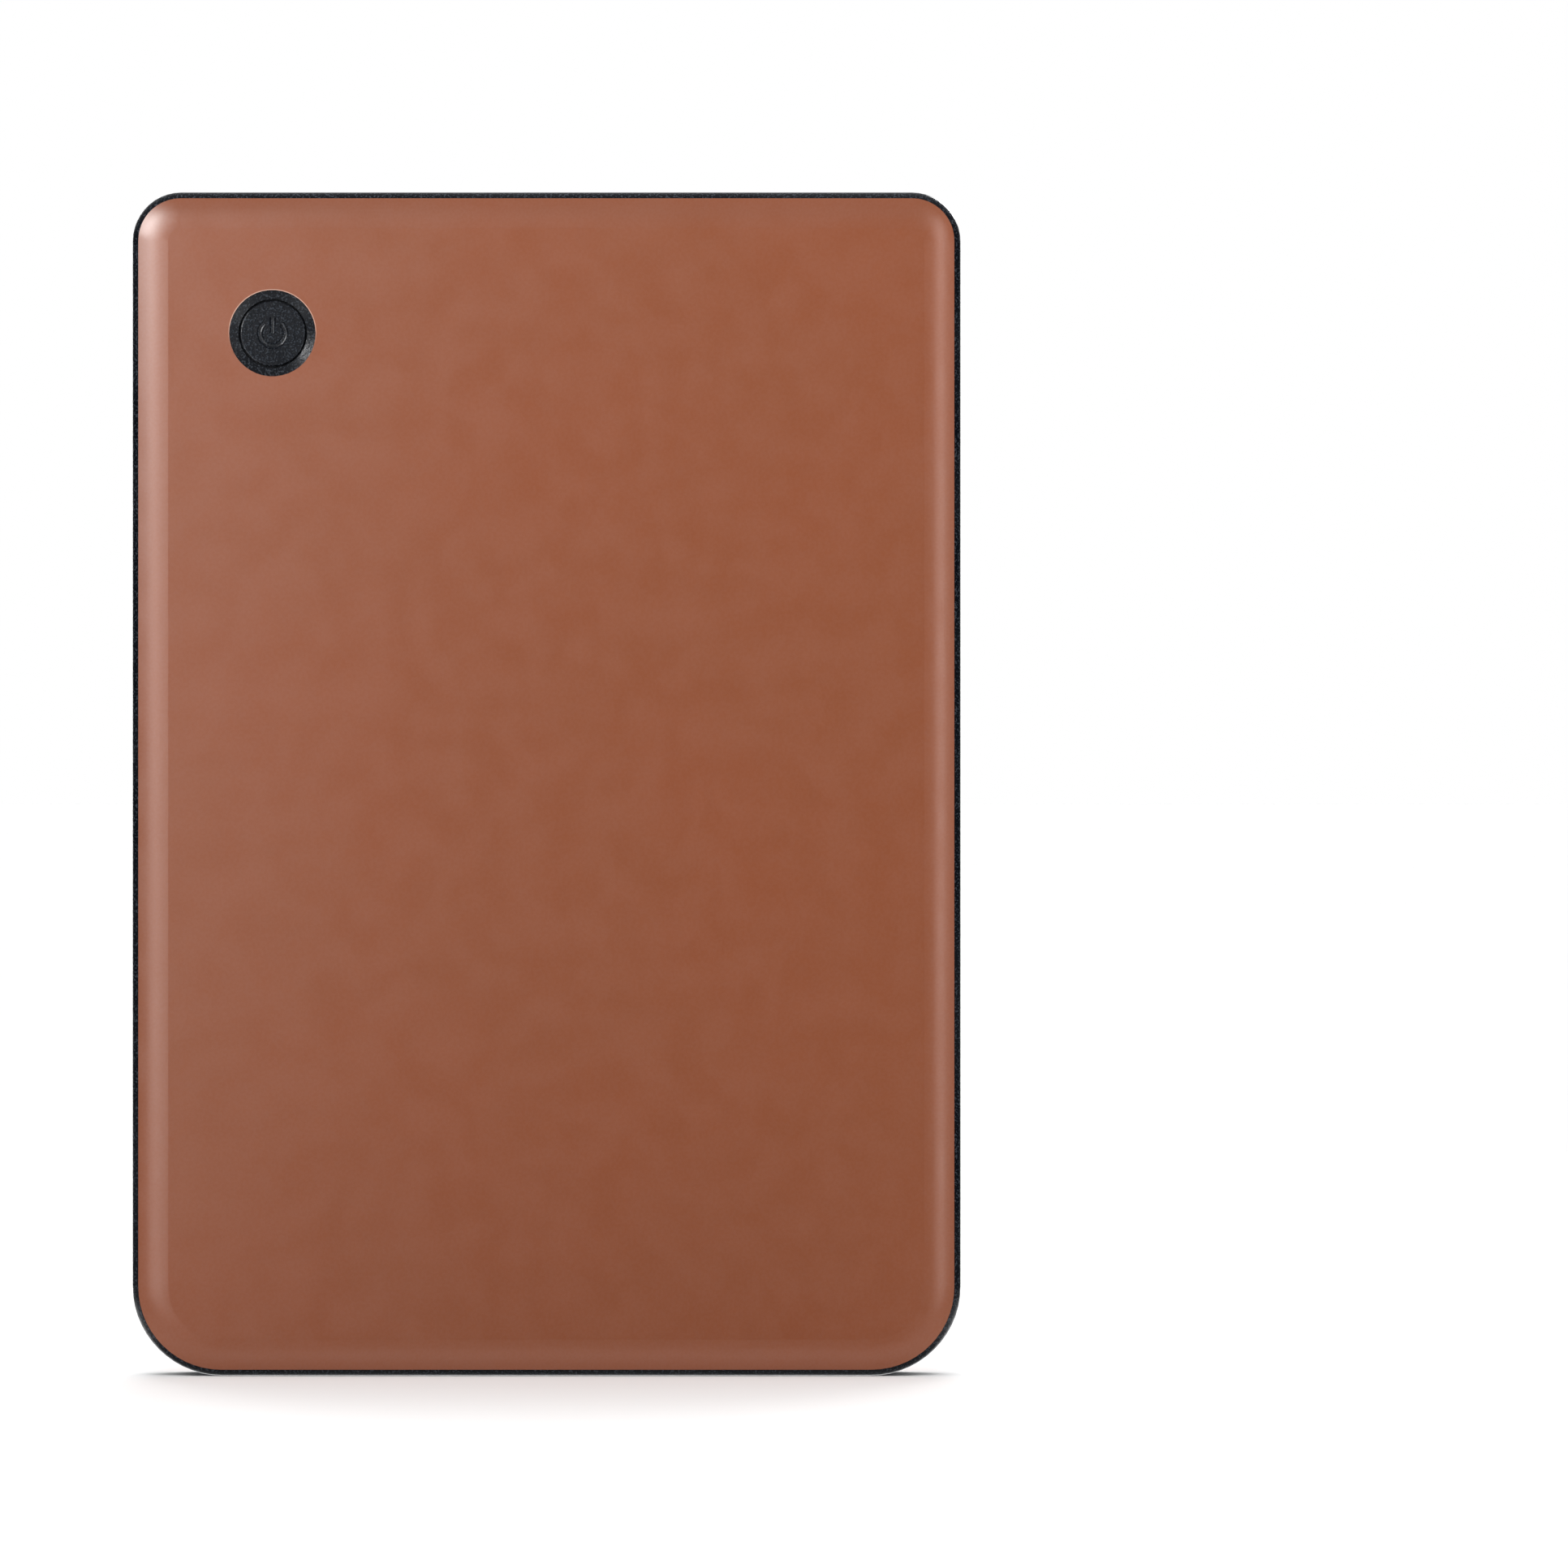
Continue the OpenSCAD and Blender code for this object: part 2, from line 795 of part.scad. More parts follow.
// Chassis

module midframe() {
    bead_w = 2;
    bead_d = 0.25;
    bead_r = 0.9;
    bead_low = 30;
    bead_high = 140;
    port_bay_x = usb_w / 2 + 0.7;
    port_bay_high = 9;
    slot_low = flex_y - 0.9;
    slot_high = flex_y + 1.9;
    pipe_hole_r = 1.3;
    thread_d = 1.1;
    through = chassis_front - chassis_back + 2 * past;
    color("#9a9ea3") upright() difference() {
        union() {
            plate(chassis_back, chassis_front) outline(chassis_inset);
            at_standoffs() translate([0, 0, board_front])
                cylinder(h = chassis_back - board_front + sink, r = standoff_r);
        }
        box([-port_bay_x, 0, chassis_back - past], [port_bay_x, port_bay_high, chassis_front + past]);
        for (xs = [display_flex_x, touch_flex_x, light_flex_x])
            plate(chassis_back - past, chassis_front + past)
                round_rect([xs[0] - slot_room, slot_low], [xs[1] + slot_room, slot_high], 0.8);
        translate([light_x, light_y, chassis_back - past]) cylinder(h = through, r = pipe_hole_r);
        at_chassis_screws() translate([0, 0, chassis_back - past])
            cylinder(h = through, r = screw_r + hole_room);
        at_standoffs() translate([0, 0, board_front - past])
            cylinder(h = thread_d + past, r = board_screw_r + thread_room);
        for (x = [-40, -20, 0, 20]) plate(chassis_front - bead_d, chassis_front + past)
            round_rect([x, bead_low], [x + bead_w, bead_high], bead_r);
    }
}

module chassis_screws() {
    color("#c4c7ca") upright() at_chassis_screws()
        screw(chassis_back, screw_r, screw_head_r, screw_head_h, screw_l);
}

// Battery

module battery_cell() {
    fold_in = 2;
    fold_l = 3.5;
    fold_root = 1;
    fold_back = -0.1;
    fold_front = 0.3;
    fold_high = cell_low + fold_root;
    color("#a9adb1") upright() {
        plate(cell_back, chassis_back - glue_t)
            round_rect([-cell_w / 2, cell_low], [cell_w / 2, cell_low + cell_h], 2);
        box([fold_in, cell_low - fold_l, fold_back], [cell_w / 2 - fold_in, fold_high, fold_front]);
    }
}

module battery_tapes() {
    tape_w = 8;
    tape_in = 3;
    tape_l = cell_h - 2 * tape_in;
    color("#e8e2d2") upright() for (x = [-24, 24])
        translate([x - tape_w / 2, cell_low + tape_in, chassis_back - glue_t]) cube([tape_w, tape_l, glue_t]);
}

module battery_board() {
    left = 5;
    right = 33;
    low = cell_low - 3.4;
    high = cell_low - 0.1;
    back = lead_z + lead_r + 0.02;
    front = -0.12;
    hole_r = 0.3;
    hole_in = 1;
    color("#2f6b46") upright() difference() {
        box([left, low, back], [right, high, front]);
        for (x = lead_xs) translate([x, cell_low - hole_in, back - past])
            cylinder(h = front - back + 2 * past, r = hole_r, $fn = 24);
    }
}

module battery_leads() {
    lead_end = cell_low - 1.6;
    color("#b03a32") upright() for (x = lead_xs) translate([x, plug_high, lead_z])
        rotate([-90, 0, 0]) cylinder(h = lead_end - plug_high, r = lead_r, $fn = 32);
}

module battery_plug() {
    pin_r = 0.25;
    pin_d = 2.3;
    color("#efece2") upright() difference() {
        box([plug_left, plug_low, lead_z - plug_y], [plug_right, plug_high, lead_z + plug_y]);
        for (x = lead_xs) translate([x, plug_low - past, lead_z])
            rotate([-90, 0, 0]) cylinder(h = pin_d + past, r = pin_r, $fn = 24);
    }
}

module battery_socket() {
    side = 0.5;
    low = 52;
    high = 57;
    floor_t = 1;
    back = lead_z - 0.8;
    slack = 0.1;
    slack_y = 0.05;
    left = plug_left - slack;
    right = plug_right + slack;
    half_t = plug_y + slack_y;
    color("#e4e0d4") upright() difference() {
        box([left - side, low, back], [right + side, high, board_back]);
        box([left, low + floor_t, lead_z - half_t], [right, high + past, lead_z + half_t]);
    }
}

module battery_pad() {
    pad_x = 28;
    pad_in = 8;
    color("#55585c") upright() plate(inner_back + skim, cell_back)
        round_rect([-pad_x, cell_low + pad_in], [pad_x, cell_low + cell_h - pad_in], 2);
}

// Main board

module main_board() {
    tab_root = 3;
    port_x = usb_w / 2 + hole_room;
    color("#1f5a3c") upright() difference() {
        plate(board_back, board_front) {
            round_rect([-board_x, board_low], [board_x, board_high], 1.5);
            round_rect([-tab_x, tab_low], [tab_x, board_low + tab_root], 1);
        }
        box([-port_x, 0, board_back - past], [port_x, usb_front + usb_l + hole_room, board_front + past]);
        for (p = board_screws_at) board_hole(p);
    }
}

// Hole for a board screw
module board_hole(p) {
    translate([p.x, p.y, board_back - past])
        cylinder(h = board_front - board_back + 2 * past, r = board_screw_r + hole_room);
}

module processor() {
    color("#26282b") upright() chip(processor_at, processor_size);
}

module memory_chip() {
    color("#2b2d31") upright() chip(memory_at, memory_size);
}

module storage_chip() {
    color("#2b2d31") upright() chip(storage_at, storage_size);
}

module power_chips() {
    color("#2e3034") upright() {
        chip(power_at, power_size);
        chip(charger_at, charger_size);
    }
}

module wifi_module() {
    can_inset = 0.5;
    can_low = 0.3;
    can_size = [wifi_size.x - 2 * can_inset, wifi_size.y - 2 * can_inset, wifi_can_h - can_low];
    color("#b5b9bd") upright() {
        on_board(wifi_at, wifi_size);
        translate([0, 0, -can_low]) on_board(wifi_at, can_size);
    }
}

// Rectangle of the shield round the processor and its memory, moved out by grow
module shield_shape(grow, r) {
    round_rect(shield_low - [grow, grow], shield_high + [grow, grow], r);
}

module shield_frame() {
    shield_wall = 0.2;
    color("#c2c5c8") upright() difference() {
        plate(board_back - shield_h, board_back) shield_shape(0, 0.6);
        plate(board_back - shield_h - past, board_back + past) shield_shape(-shield_wall, 0.4);
    }
}

module shield_lid() {
    skirt = 0.17;
    lid_slack = 0.02;
    lid_t = 0.2;
    skirt_h = 1;
    hole_r = 0.5;
    back = board_back - shield_h - lid_t;
    color("#cfd2d4") upright() difference() {
        plate(back, back + skirt_h) shield_shape(skirt, 0.7);
        plate(board_back - shield_h - lid_slack, board_back) shield_shape(lid_slack, 0.6);
        for (x = [-12:4:10], y = [39:5:50]) translate([x, y, back - past])
            cylinder(h = 2 * past, r = hole_r, $fn = 24);
    }
}

module inductors() {
    base = [3.6, 3.6, 0.5];
    body_r = 1.6;
    body_h = 1.4;
    base_overlap = 0.1;
    color("#3d3a38") upright() for (p = [[-22.5, 32], [-29, 32], [17.5, 49], [17.5, 34], [38, 42]]) {
        on_board(p, base);
        translate([p.x, p.y, board_back - body_h])
            cylinder(h = body_h - base.z + base_overlap, r = body_r, $fn = 48);
    }
}

module capacitors() {
    size = [1, 0.6, 0.5];
    first = [-14.5, 30.8];
    pitch = [2.5, 2];
    color("#b59a6e") upright() for (i = [0:11], j = [0, 1])
        on_board([first.x + pitch.x * i, first.y + pitch.y * j], size);
}

module quartz_crystals() {
    color("#d3d5d7") upright() for (p = [[38, 35], [38, 30]]) on_board(p, [3.2, 2.4, 0.8]);
}

module display_socket() {
    color("#3a3228") upright() flex_socket(display_flex_x);
}

module touch_socket() {
    color("#3a3228") upright() flex_socket(touch_flex_x);
}

module light_socket() {
    color("#3a3228") upright() flex_socket(light_flex_x);
}

module button_socket() {
    side = 0.5;
    low = 50.5;
    high = 53.8;
    slot_low = 51.8;
    housing_h = 1;
    slot_back = board_back - 0.8;
    slot_front = board_back - 0.4;
    slack = 0.1;
    left = button_flex_x[0] - slack;
    right = button_flex_x[1] + slack;
    color("#3a3228") upright() difference() {
        box([left - side, low, board_back - housing_h], [right + side, high, board_back]);
        box([left, slot_low, slot_back], [right, high + past, slot_front]);
    }
}

module board_screws() {
    color("#c4c7ca") upright() at_standoffs()
        screw(board_back, board_screw_r, board_screw_head_r, board_screw_head_h, board_screw_l);
}

// USB receptacle

// Children along the receptacle, whose z runs into the casing from the shell's mouth
module at_port(y) {
    translate([0, y, usb_z]) rotate([-90, 0, 0]) children();
}

module usb_shell() {
    color("#c9cccf") upright() at_port(usb_front) difference() {
        linear_extrude(usb_l) stadium(usb_w, usb_h);
        translate([0, 0, -past]) linear_extrude(usb_l + 2 * past)
            stadium(usb_w - 2 * usb_wall, usb_h - 2 * usb_wall);
    }
}

module usb_tongue() {
    base_l = 1.6;
    tongue_in = 0.8;
    slack = 0.02;
    inner_w = usb_w - 2 * usb_wall - 2 * slack;
    inner_h = usb_h - 2 * usb_wall - 2 * slack;
    color("#17181a") upright() at_port(usb_front) {
        translate([0, 0, usb_l - base_l]) linear_extrude(base_l) stadium(inner_w, inner_h);
        translate([-tongue_w / 2, -tongue_t / 2, tongue_in]) cube([tongue_w, tongue_t, usb_l - base_l]);
    }
}

module usb_contacts() {
    count = 12;
    pitch = 0.5;
    contact = [0.26, usb_l - 3, 0.06];
    contact_in = 1.2;
    first_x = -(count - 1) / 2 * pitch - contact.x / 2;
    color("#d9b45a") upright() for (i = [0:count - 1], z = [tongue_t / 2, -tongue_t / 2 - contact.z])
        translate([first_x + i * pitch, usb_front + contact_in, usb_z + z]) cube(contact);
}

module usb_seal() {
    seal_l = 0.85;
    seal_w = 0.4;
    slack = 0.02;
    color("#6d7075") upright() at_port(wall + slack) difference() {
        linear_extrude(seal_l) stadium(usb_w + seal_w, usb_h + seal_w);
        translate([0, 0, -past]) linear_extrude(seal_l + 2 * past)
            stadium(usb_w + 2 * slack, usb_h + 2 * slack);
    }
}

// Antenna

module antenna_flex() {
    color("#c8873a") upright() plate(inner_back + skim, inner_back + flex_t)
        round_rect([-46, 141.5], [-20, 150], 1);
}

module antenna_plug() {
    plug_r = 1.3;
    plug_h = 0.95;
    back = board_back - wifi_can_h - plug_h;
    color("#d3b46a") upright() translate([antenna_plug_at.x, antenna_plug_at.y, back])
        cylinder(h = plug_h, r = plug_r);
}

module antenna_cable() {
    cable_r = 0.5;
    turn_r = 1.5;
    cable_z = board_back - 1.9;
    start_x = -34.9;
    turn_x = -39.5;
    rise = 96;
    color("#1b1c1e") upright() translate([0, antenna_plug_at.y, cable_z]) {
        translate([start_x, 0, 0]) rotate([0, -90, 0]) cylinder(h = start_x - turn_x, r = cable_r, $fn = 48);
        translate([turn_x, turn_r, 0]) rotate([0, 0, 180]) rotate_extrude(angle = 90)
            translate([turn_r, 0]) circle(cable_r, $fn = 48);
        translate([turn_x - turn_r, turn_r, 0]) rotate([-90, 0, 0]) cylinder(h = rise, r = cable_r, $fn = 48);
    }
}

// Button board

module button_board() {
    color("#1f5a3c") upright() difference() {
        plate(board_back, board_front) round_rect(small_board[0], small_board[1], 1);
        for (p = small_screws_at) board_hole(p);
    }
}

module button_flex() {
    low = 52;
    high = 136;
    back = board_back - 0.66;
    color("#b9762f") upright()
        box([button_flex_x[0], low, back], [button_flex_x[1], high, back + flex_t]);
}

module switch_body() {
    switch_w = 4.5;
    switch_h = 1.3;
    cover_t = 0.2;
    cavity_h = 0.85;
    cavity_r = 1.7;
    hole_r = 1.15;
    back = board_back - switch_h;
    color("#b9bcbf") upright() translate([button_x, button_y, 0]) difference() {
        translate([-switch_w / 2, -switch_w / 2, back]) cube([switch_w, switch_w, switch_h]);
        translate([0, 0, back + cover_t]) cylinder(h = cavity_h, r = cavity_r);
        translate([0, 0, back - past]) cylinder(h = cover_t + 2 * past, r = hole_r);
    }
}

module switch_plunger() {
    pin_r = 1;
    flange_r = 1.5;
    flange_h = 0.3;
    flange_z = board_back - 1.05;
    top = flange_z + 0.25;
    color("#e9e4d4") upright() translate([button_x, button_y, 0]) {
        translate([0, 0, plunger_tip]) cylinder(h = top - plunger_tip, r = pin_r);
        translate([0, 0, flange_z]) cylinder(h = flange_h, r = flange_r);
    }
}

module status_led() {
    led_x = 0.8;
    led_y = 0.4;
    led_top = chassis_back - 0.1;
    color("#f5f3e8") upright()
        box([light_x - led_x, light_y - led_y, board_front], [light_x + led_x, light_y + led_y, led_top]);
}

module hall_sensor() {
    color("#2b2d31") upright() chip([32.5, 147], [2.9, 1.6, 0.8]);
}

front_skin();
rear_skin();
front_frame();
rear_cover();
frame_gasket();
power_button();
button_seal();
button_retainer();
light_pipe();
display_adhesive();
touch_film();
light_guide();
light_bar_flex();
light_bar_leds();
epaper_film();
backplane_glass();
driver_chips();
display_flex();
touch_flex();
display_foam();
midframe();
chassis_screws();
battery_cell();
battery_tapes();
battery_board();
battery_leads();
battery_plug();
battery_socket();
battery_pad();
main_board();
processor();
memory_chip();
storage_chip();
power_chips();
wifi_module();
shield_frame();
shield_lid();
inductors();
capacitors();
quartz_crystals();
display_socket();
touch_socket();
light_socket();
button_socket();
board_screws();
usb_shell();
usb_tongue();
usb_contacts();
usb_seal();
antenna_flex();
antenna_plug();
antenna_cable();
button_board();
button_flex();
switch_body();
switch_plunger();
status_led();
hall_sensor();
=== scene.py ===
import json
import math

import bmesh
import bpy
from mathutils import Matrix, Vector

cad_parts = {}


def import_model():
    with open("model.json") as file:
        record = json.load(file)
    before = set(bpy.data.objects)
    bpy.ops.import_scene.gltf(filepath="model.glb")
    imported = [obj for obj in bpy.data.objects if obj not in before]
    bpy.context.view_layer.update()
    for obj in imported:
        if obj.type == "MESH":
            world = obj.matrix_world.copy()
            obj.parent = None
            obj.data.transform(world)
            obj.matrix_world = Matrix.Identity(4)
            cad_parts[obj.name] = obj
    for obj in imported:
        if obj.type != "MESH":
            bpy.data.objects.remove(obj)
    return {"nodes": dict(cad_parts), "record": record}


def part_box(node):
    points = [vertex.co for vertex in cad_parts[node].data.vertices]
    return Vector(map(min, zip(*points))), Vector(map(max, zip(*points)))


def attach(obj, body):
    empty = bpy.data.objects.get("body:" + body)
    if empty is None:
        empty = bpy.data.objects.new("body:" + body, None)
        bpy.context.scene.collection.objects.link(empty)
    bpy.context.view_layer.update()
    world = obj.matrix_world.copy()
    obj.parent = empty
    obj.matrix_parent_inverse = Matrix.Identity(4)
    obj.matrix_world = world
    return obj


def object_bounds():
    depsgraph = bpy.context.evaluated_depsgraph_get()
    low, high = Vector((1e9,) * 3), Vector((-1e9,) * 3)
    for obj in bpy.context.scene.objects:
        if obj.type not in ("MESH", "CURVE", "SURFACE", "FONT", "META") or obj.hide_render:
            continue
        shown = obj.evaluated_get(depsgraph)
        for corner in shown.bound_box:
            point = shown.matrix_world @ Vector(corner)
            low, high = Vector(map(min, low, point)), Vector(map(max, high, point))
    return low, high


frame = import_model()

MM = 0.001

# The whole object, in metres. The screen looks towards -Y and the back towards +Y.
cad_low, cad_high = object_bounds()
height = cad_high.z - cad_low.z

# Camera: level, looking at the back, with the object left of the middle
LENS = 180
SENSOR = 36
PICTURE_WIDTH = 212.1 * MM
CAMERA_RIGHT_OF_OBJECT = 32.1 * MM
CAMERA_HEIGHT = 80.0 * MM

# Studio: how bright the surroundings are at the horizon, overhead and in the table's reflection, and
# what share of that reflection is left straight down
SKY_LOW = 0.05
SKY_HIGH = 1.13
TABLE_GLOW = 2.8
TABLE_UNDER = 0.25
# How far a direction dips where the table's reflection begins and is full, and where it begins to
# fade and is down to its last share
TABLE_DIPS = (-0.06, -0.38)
UNDER_DIPS = (-0.46, -0.72)
# How far the soft boxes stand from the object's middle, and how wide and tall each is, in metres
REACH = 0.65
TOP_BOX = (0.30, 0.10)
WIDE_BOX = (0.23, 0.46)
NARROW_BOX = (0.12, 0.46)
KEY_BOX = (0.20, 0.20)
# How high the suns stand and how wide they are, in degrees
SUN_RISE = 58
SUN_WIDE = 40
# The floor reaches this far each way, in metres
FLOOR_REACH = 30

# Screen page: its layers stand on the film's front face
PAGE_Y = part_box("touch_film")[0].y
LAYER = 0.012 * MM
# Points round a disc, along a quarter of a bar's corner, and round the end of a stroke
ROUND_STEPS = 24
CORNER_STEPS = 6
END_STEPS = 8

WHITE = (1.0, 1.0, 1.0)
BLACK = (0.0, 0.0, 0.0)


# ---------------------------------------------------------------- node trees

class Shader:
    """A material's node tree, with short calls for the nodes used here."""

    def __init__(self, name):
        self.material = bpy.data.materials.new(name)
        self.material.use_nodes = True
        self.tree = self.material.node_tree
        self.tree.nodes.clear()
        self.output = self.node("ShaderNodeOutputMaterial")
        self.bsdf = self.node("ShaderNodeBsdfPrincipled")
        self.tree.links.new(self.bsdf.outputs["BSDF"], self.output.inputs["Surface"])
        self.place = self.node("ShaderNodeTexCoord")

    def node(self, kind, **settings):
        made = self.tree.nodes.new(kind)
        for key, value in settings.items():
            setattr(made, key, value)
        return made

    def feed(self, socket, value):
        """Links a socket, or sets its number or colour."""
        if isinstance(value, bpy.types.NodeSocket):
            self.tree.links.new(value, socket)
        elif isinstance(value, (tuple, list)) and len(value) == 3 and socket.type == "RGBA":
            socket.default_value = (*value, 1)
        else:
            socket.default_value = value

    def set(self, **values):
        """Sets the shader's own sockets: base_color becomes Base Color."""
        for key, value in values.items():
            name = " ".join(word.upper() if word == "ior" else word.capitalize() for word in key.split("_"))
            self.feed(self.bsdf.inputs[name], value)

    def specular(self, level):
        self.bsdf.inputs["Specular IOR Level"].default_value = level

    def mapped(self, place, scale, shift=(0, 0, 0)):
        """A place scaled along each axis, then shifted."""
        made = self.node("ShaderNodeMapping")
        self.feed(made.inputs["Vector"], place)
        made.inputs["Scale"].default_value = scale
        made.inputs["Location"].default_value = shift
        return made.outputs["Vector"]

    def noise(self, scale, detail=2.0, where=None, distortion=0.0):
        made = self.node("ShaderNodeTexNoise")
        self.feed(made.inputs["Vector"], where or self.place.outputs["Object"])
        made.inputs["Scale"].default_value = scale
        made.inputs["Detail"].default_value = detail
        made.inputs["Distortion"].default_value = distortion
        return made.outputs["Fac"]

    def stripes(self, scale):
        """Stripes that follow each other along X."""
        made = self.node("ShaderNodeTexWave", bands_direction="X")
        self.feed(made.inputs["Vector"], self.place.outputs["Object"])
        made.inputs["Scale"].default_value = scale
        return made.outputs["Fac"]

    def cells(self, scale, where=None, feature="F1"):
        made = self.node("ShaderNodeTexVoronoi", feature=feature)
        self.feed(made.inputs["Vector"], where or self.place.outputs["Object"])
        made.inputs["Scale"].default_value = scale
        return made

    def sums(self, operation, a, b=0.0):
        """One sum on one or two values."""
        made = self.node("ShaderNodeMath", operation=operation)
        for socket, value in zip(made.inputs, (a, b)):
            self.feed(socket, value)
        return made.outputs[0]

    def distance(self, a, b):
        """How far apart two points are that differ by a one way and by b the other."""
        squares = self.sums("ADD", self.sums("MULTIPLY", a, a), self.sums("MULTIPLY", b, b))
        return self.sums("SQRT", squares)

    def fit(self, value, low, high, to_low=0.0, to_high=1.0):
        """A value from low to high, stretched smoothly between two others."""
        made = self.node("ShaderNodeMapRange", interpolation_type="SMOOTHSTEP")
        for name, number in (("Value", value), ("From Min", low), ("From Max", high),
                             ("To Min", to_low), ("To Max", to_high)):
            self.feed(made.inputs[name], number)
        return made.outputs["Result"]

    def mix(self, share, a, b):
        """Colour a, moved by a share towards colour b."""
        made = self.node("ShaderNodeMix", data_type="RGBA")
        share_in, a_in, b_in = (made.inputs[i] for i in (0, 6, 7))
        self.feed(share_in, share)
        self.feed(a_in, a)
        self.feed(b_in, b)
        return made.outputs[2]

    def ramp(self, value, stops, smooth=True):
        made = self.node("ShaderNodeValToRGB")
        made.color_ramp.interpolation = "LINEAR" if smooth else "CONSTANT"
        while len(made.color_ramp.elements) < len(stops):
            made.color_ramp.elements.new(1.0)
        for element, (at, colour) in zip(made.color_ramp.elements, stops):
            element.position = at
            element.color = (*colour, 1)
        self.feed(made.inputs["Fac"], value)
        return made.outputs["Color"]

    def axes(self, vector):
        made = self.node("ShaderNodeSeparateXYZ")
        self.feed(made.inputs[0], vector)
        return made.outputs

    def bump(self, height_value, distance, strength=1.0, after=None):
        made = self.node("ShaderNodeBump")
        made.inputs["Strength"].default_value = strength
        made.inputs["Distance"].default_value = distance
        self.feed(made.inputs["Height"], height_value)
        if after is not None:
            self.feed(made.inputs["Normal"], after)
        self.feed(self.bsdf.inputs["Normal"], made.outputs["Normal"])
        return made.outputs["Normal"]

    def facing_y(self):
        """How squarely a face looks along Y, from 0 on a cut edge to 1 on a flat side."""
        return self.sums("ABSOLUTE", self.axes(self.place.outputs["Normal"])[1])


def blend_of(colour, share, other):
    """A colour moved part of the way to another."""
    return tuple(a + (b - a) * share for a, b in zip(colour, other))


# ---------------------------------------------------------------- materials of the casing

VINYL = (0.236, 0.060, 0.0175)
VINYL_WARM = (0.238, 0.0595, 0.0169)
VINYL_DULL = (0.234, 0.0606, 0.0181)
# Paler colour of the vinyl's cut edges, also used for the painted highlight on the button hole's upper rim
VINYL_CUT_AND_HIGHLIGHT = (0.60, 0.36, 0.27)
BLACK_PLASTIC = (0.0010, 0.0020, 0.0045)
# Pale bluish colour of the painted glints on the textured black plastic
PAINTED_GLINT = (0.75, 0.85, 1.0)
# Where the painted highlight along the upper rim of the button's hole is full and where it has gone, out
# from the button's axis
PAINTED_HIGHLIGHT_FROM = 5.90 * MM
PAINTED_HIGHLIGHT_TO = 5.97 * MM


def vinyl():
    """Cast vinyl: faint clouds in its hue, a fine orange peel, a paler colour on its cut edges, and a
    painted highlight along the upper rim of the button's hole.
    """
    s = Shader("vinyl_skin")
    clouds = s.fit(s.noise(28, 3.0), 0.35, 0.65)
    colour = s.mix(clouds, VINYL_DULL, VINYL_WARM)
    grain = s.noise(2600, 2.0)
    colour = s.mix(s.fit(grain, 0.3, 0.7, 0.0, 0.03), colour, blend_of(VINYL, 0.25, WHITE))
    colour = s.mix(s.fit(s.facing_y(), 0.25, 0.5), VINYL_CUT_AND_HIGHLIGHT, colour)
    # Cut edges get the paler cut colour; over it goes the painted highlight along the upper rim of the
    # button's hole.
    s.set(base_color=s.mix(painted_cut_highlight(s), colour, VINYL_CUT_AND_HIGHLIGHT))
    s.set(roughness=s.fit(s.noise(190, 2.0), 0.3, 0.7, 0.28, 0.32))
    s.specular(0.30)
    peel = s.bump(s.noise(900, 2.0), 0.004 * MM, 0.5)
    s.bump(grain, 0.001 * MM, 0.5, after=peel)
    return s.material


def painted_cut_highlight(s):
    """Painted highlight: a pale line painted along the upper rim of the button's hole, where the cut vinyl
    would catch the light from above.
    """
    low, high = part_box("power_button")
    x, y, z = s.axes(s.place.outputs["Object"])
    across = s.sums("SUBTRACT", x, (low.x + high.x) / 2)
    up = s.sums("SUBTRACT", z, (low.z + high.z) / 2)
    radius = s.distance(across, up)
    line = s.fit(radius, PAINTED_HIGHLIGHT_FROM, PAINTED_HIGHLIGHT_TO, 1.0, 0.0)
    # The painted highlight covers only the ring's upper half, as if lit from above.
    upper = s.fit(s.sums("DIVIDE", up, radius), -0.35, 0.35)
    back = s.fit(y, 0.0, MM)
    return s.sums("MULTIPLY", s.sums("MULTIPLY", line, upper), s.sums("MULTIPLY", back, 0.85))


def textured_plastic(name, colour, roughness, grain_scale, depth, painted_glint_share):
    """Moulded plastic with a spark-eroded texture of tiny pits, and painted glints: pale bluish speckles
    painted into the colour on the grain's tops, where the pit rims would catch the light.
    """
    s = Shader(name)
    grain = s.noise(grain_scale, 2.0)
    pits = s.cells(grain_scale * 0.55).outputs["Distance"]
    glint_tops = s.fit(grain, 0.54, 0.62)
    worn = s.fit(s.noise(60, 3.0), 0.35, 0.7, 0.0, 0.25)
    base = s.mix(worn, colour, blend_of(colour, 0.02, WHITE))
    # Painted glints: the grain's tops are pushed towards a pale bluish colour.
    s.set(base_color=s.mix(glint_tops, base, blend_of(colour, painted_glint_share, PAINTED_GLINT)))
    s.set(roughness=s.fit(grain, 0.35, 0.7, roughness + 0.06, roughness - 0.06))
    s.specular(0.12)
    coarse = s.bump(grain, depth, 0.9)
    s.bump(pits, depth * 0.5, 0.5, after=coarse)
    return s.material


def silicone():
    """Soft rubber with a dusty bloom."""
    s = Shader("silicone")
    dust = s.fit(s.noise(700, 3.0), 0.4, 0.7)
    s.set(base_color=s.mix(dust, (0.11, 0.12, 0.13), (0.17, 0.18, 0.19)), roughness=0.7)
    s.bump(s.noise(3000, 2.0), 0.01 * MM, 0.5)
    return s.material


def clear_plastic():
    """Clear moulded plastic, slightly smoky, with flow marks."""
    s = Shader("clear_plastic")
    s.set(base_color=(0.72, 0.78, 0.84), transmission_weight=0.85, ior=1.49)
    s.set(roughness=s.fit(s.noise(900, 2.0), 0.3, 0.7, 0.10, 0.22))
    s.bump(s.noise(400, 1.0), 0.006 * MM, 0.4)
    return s.material


# ---------------------------------------------------------------- materials of the display

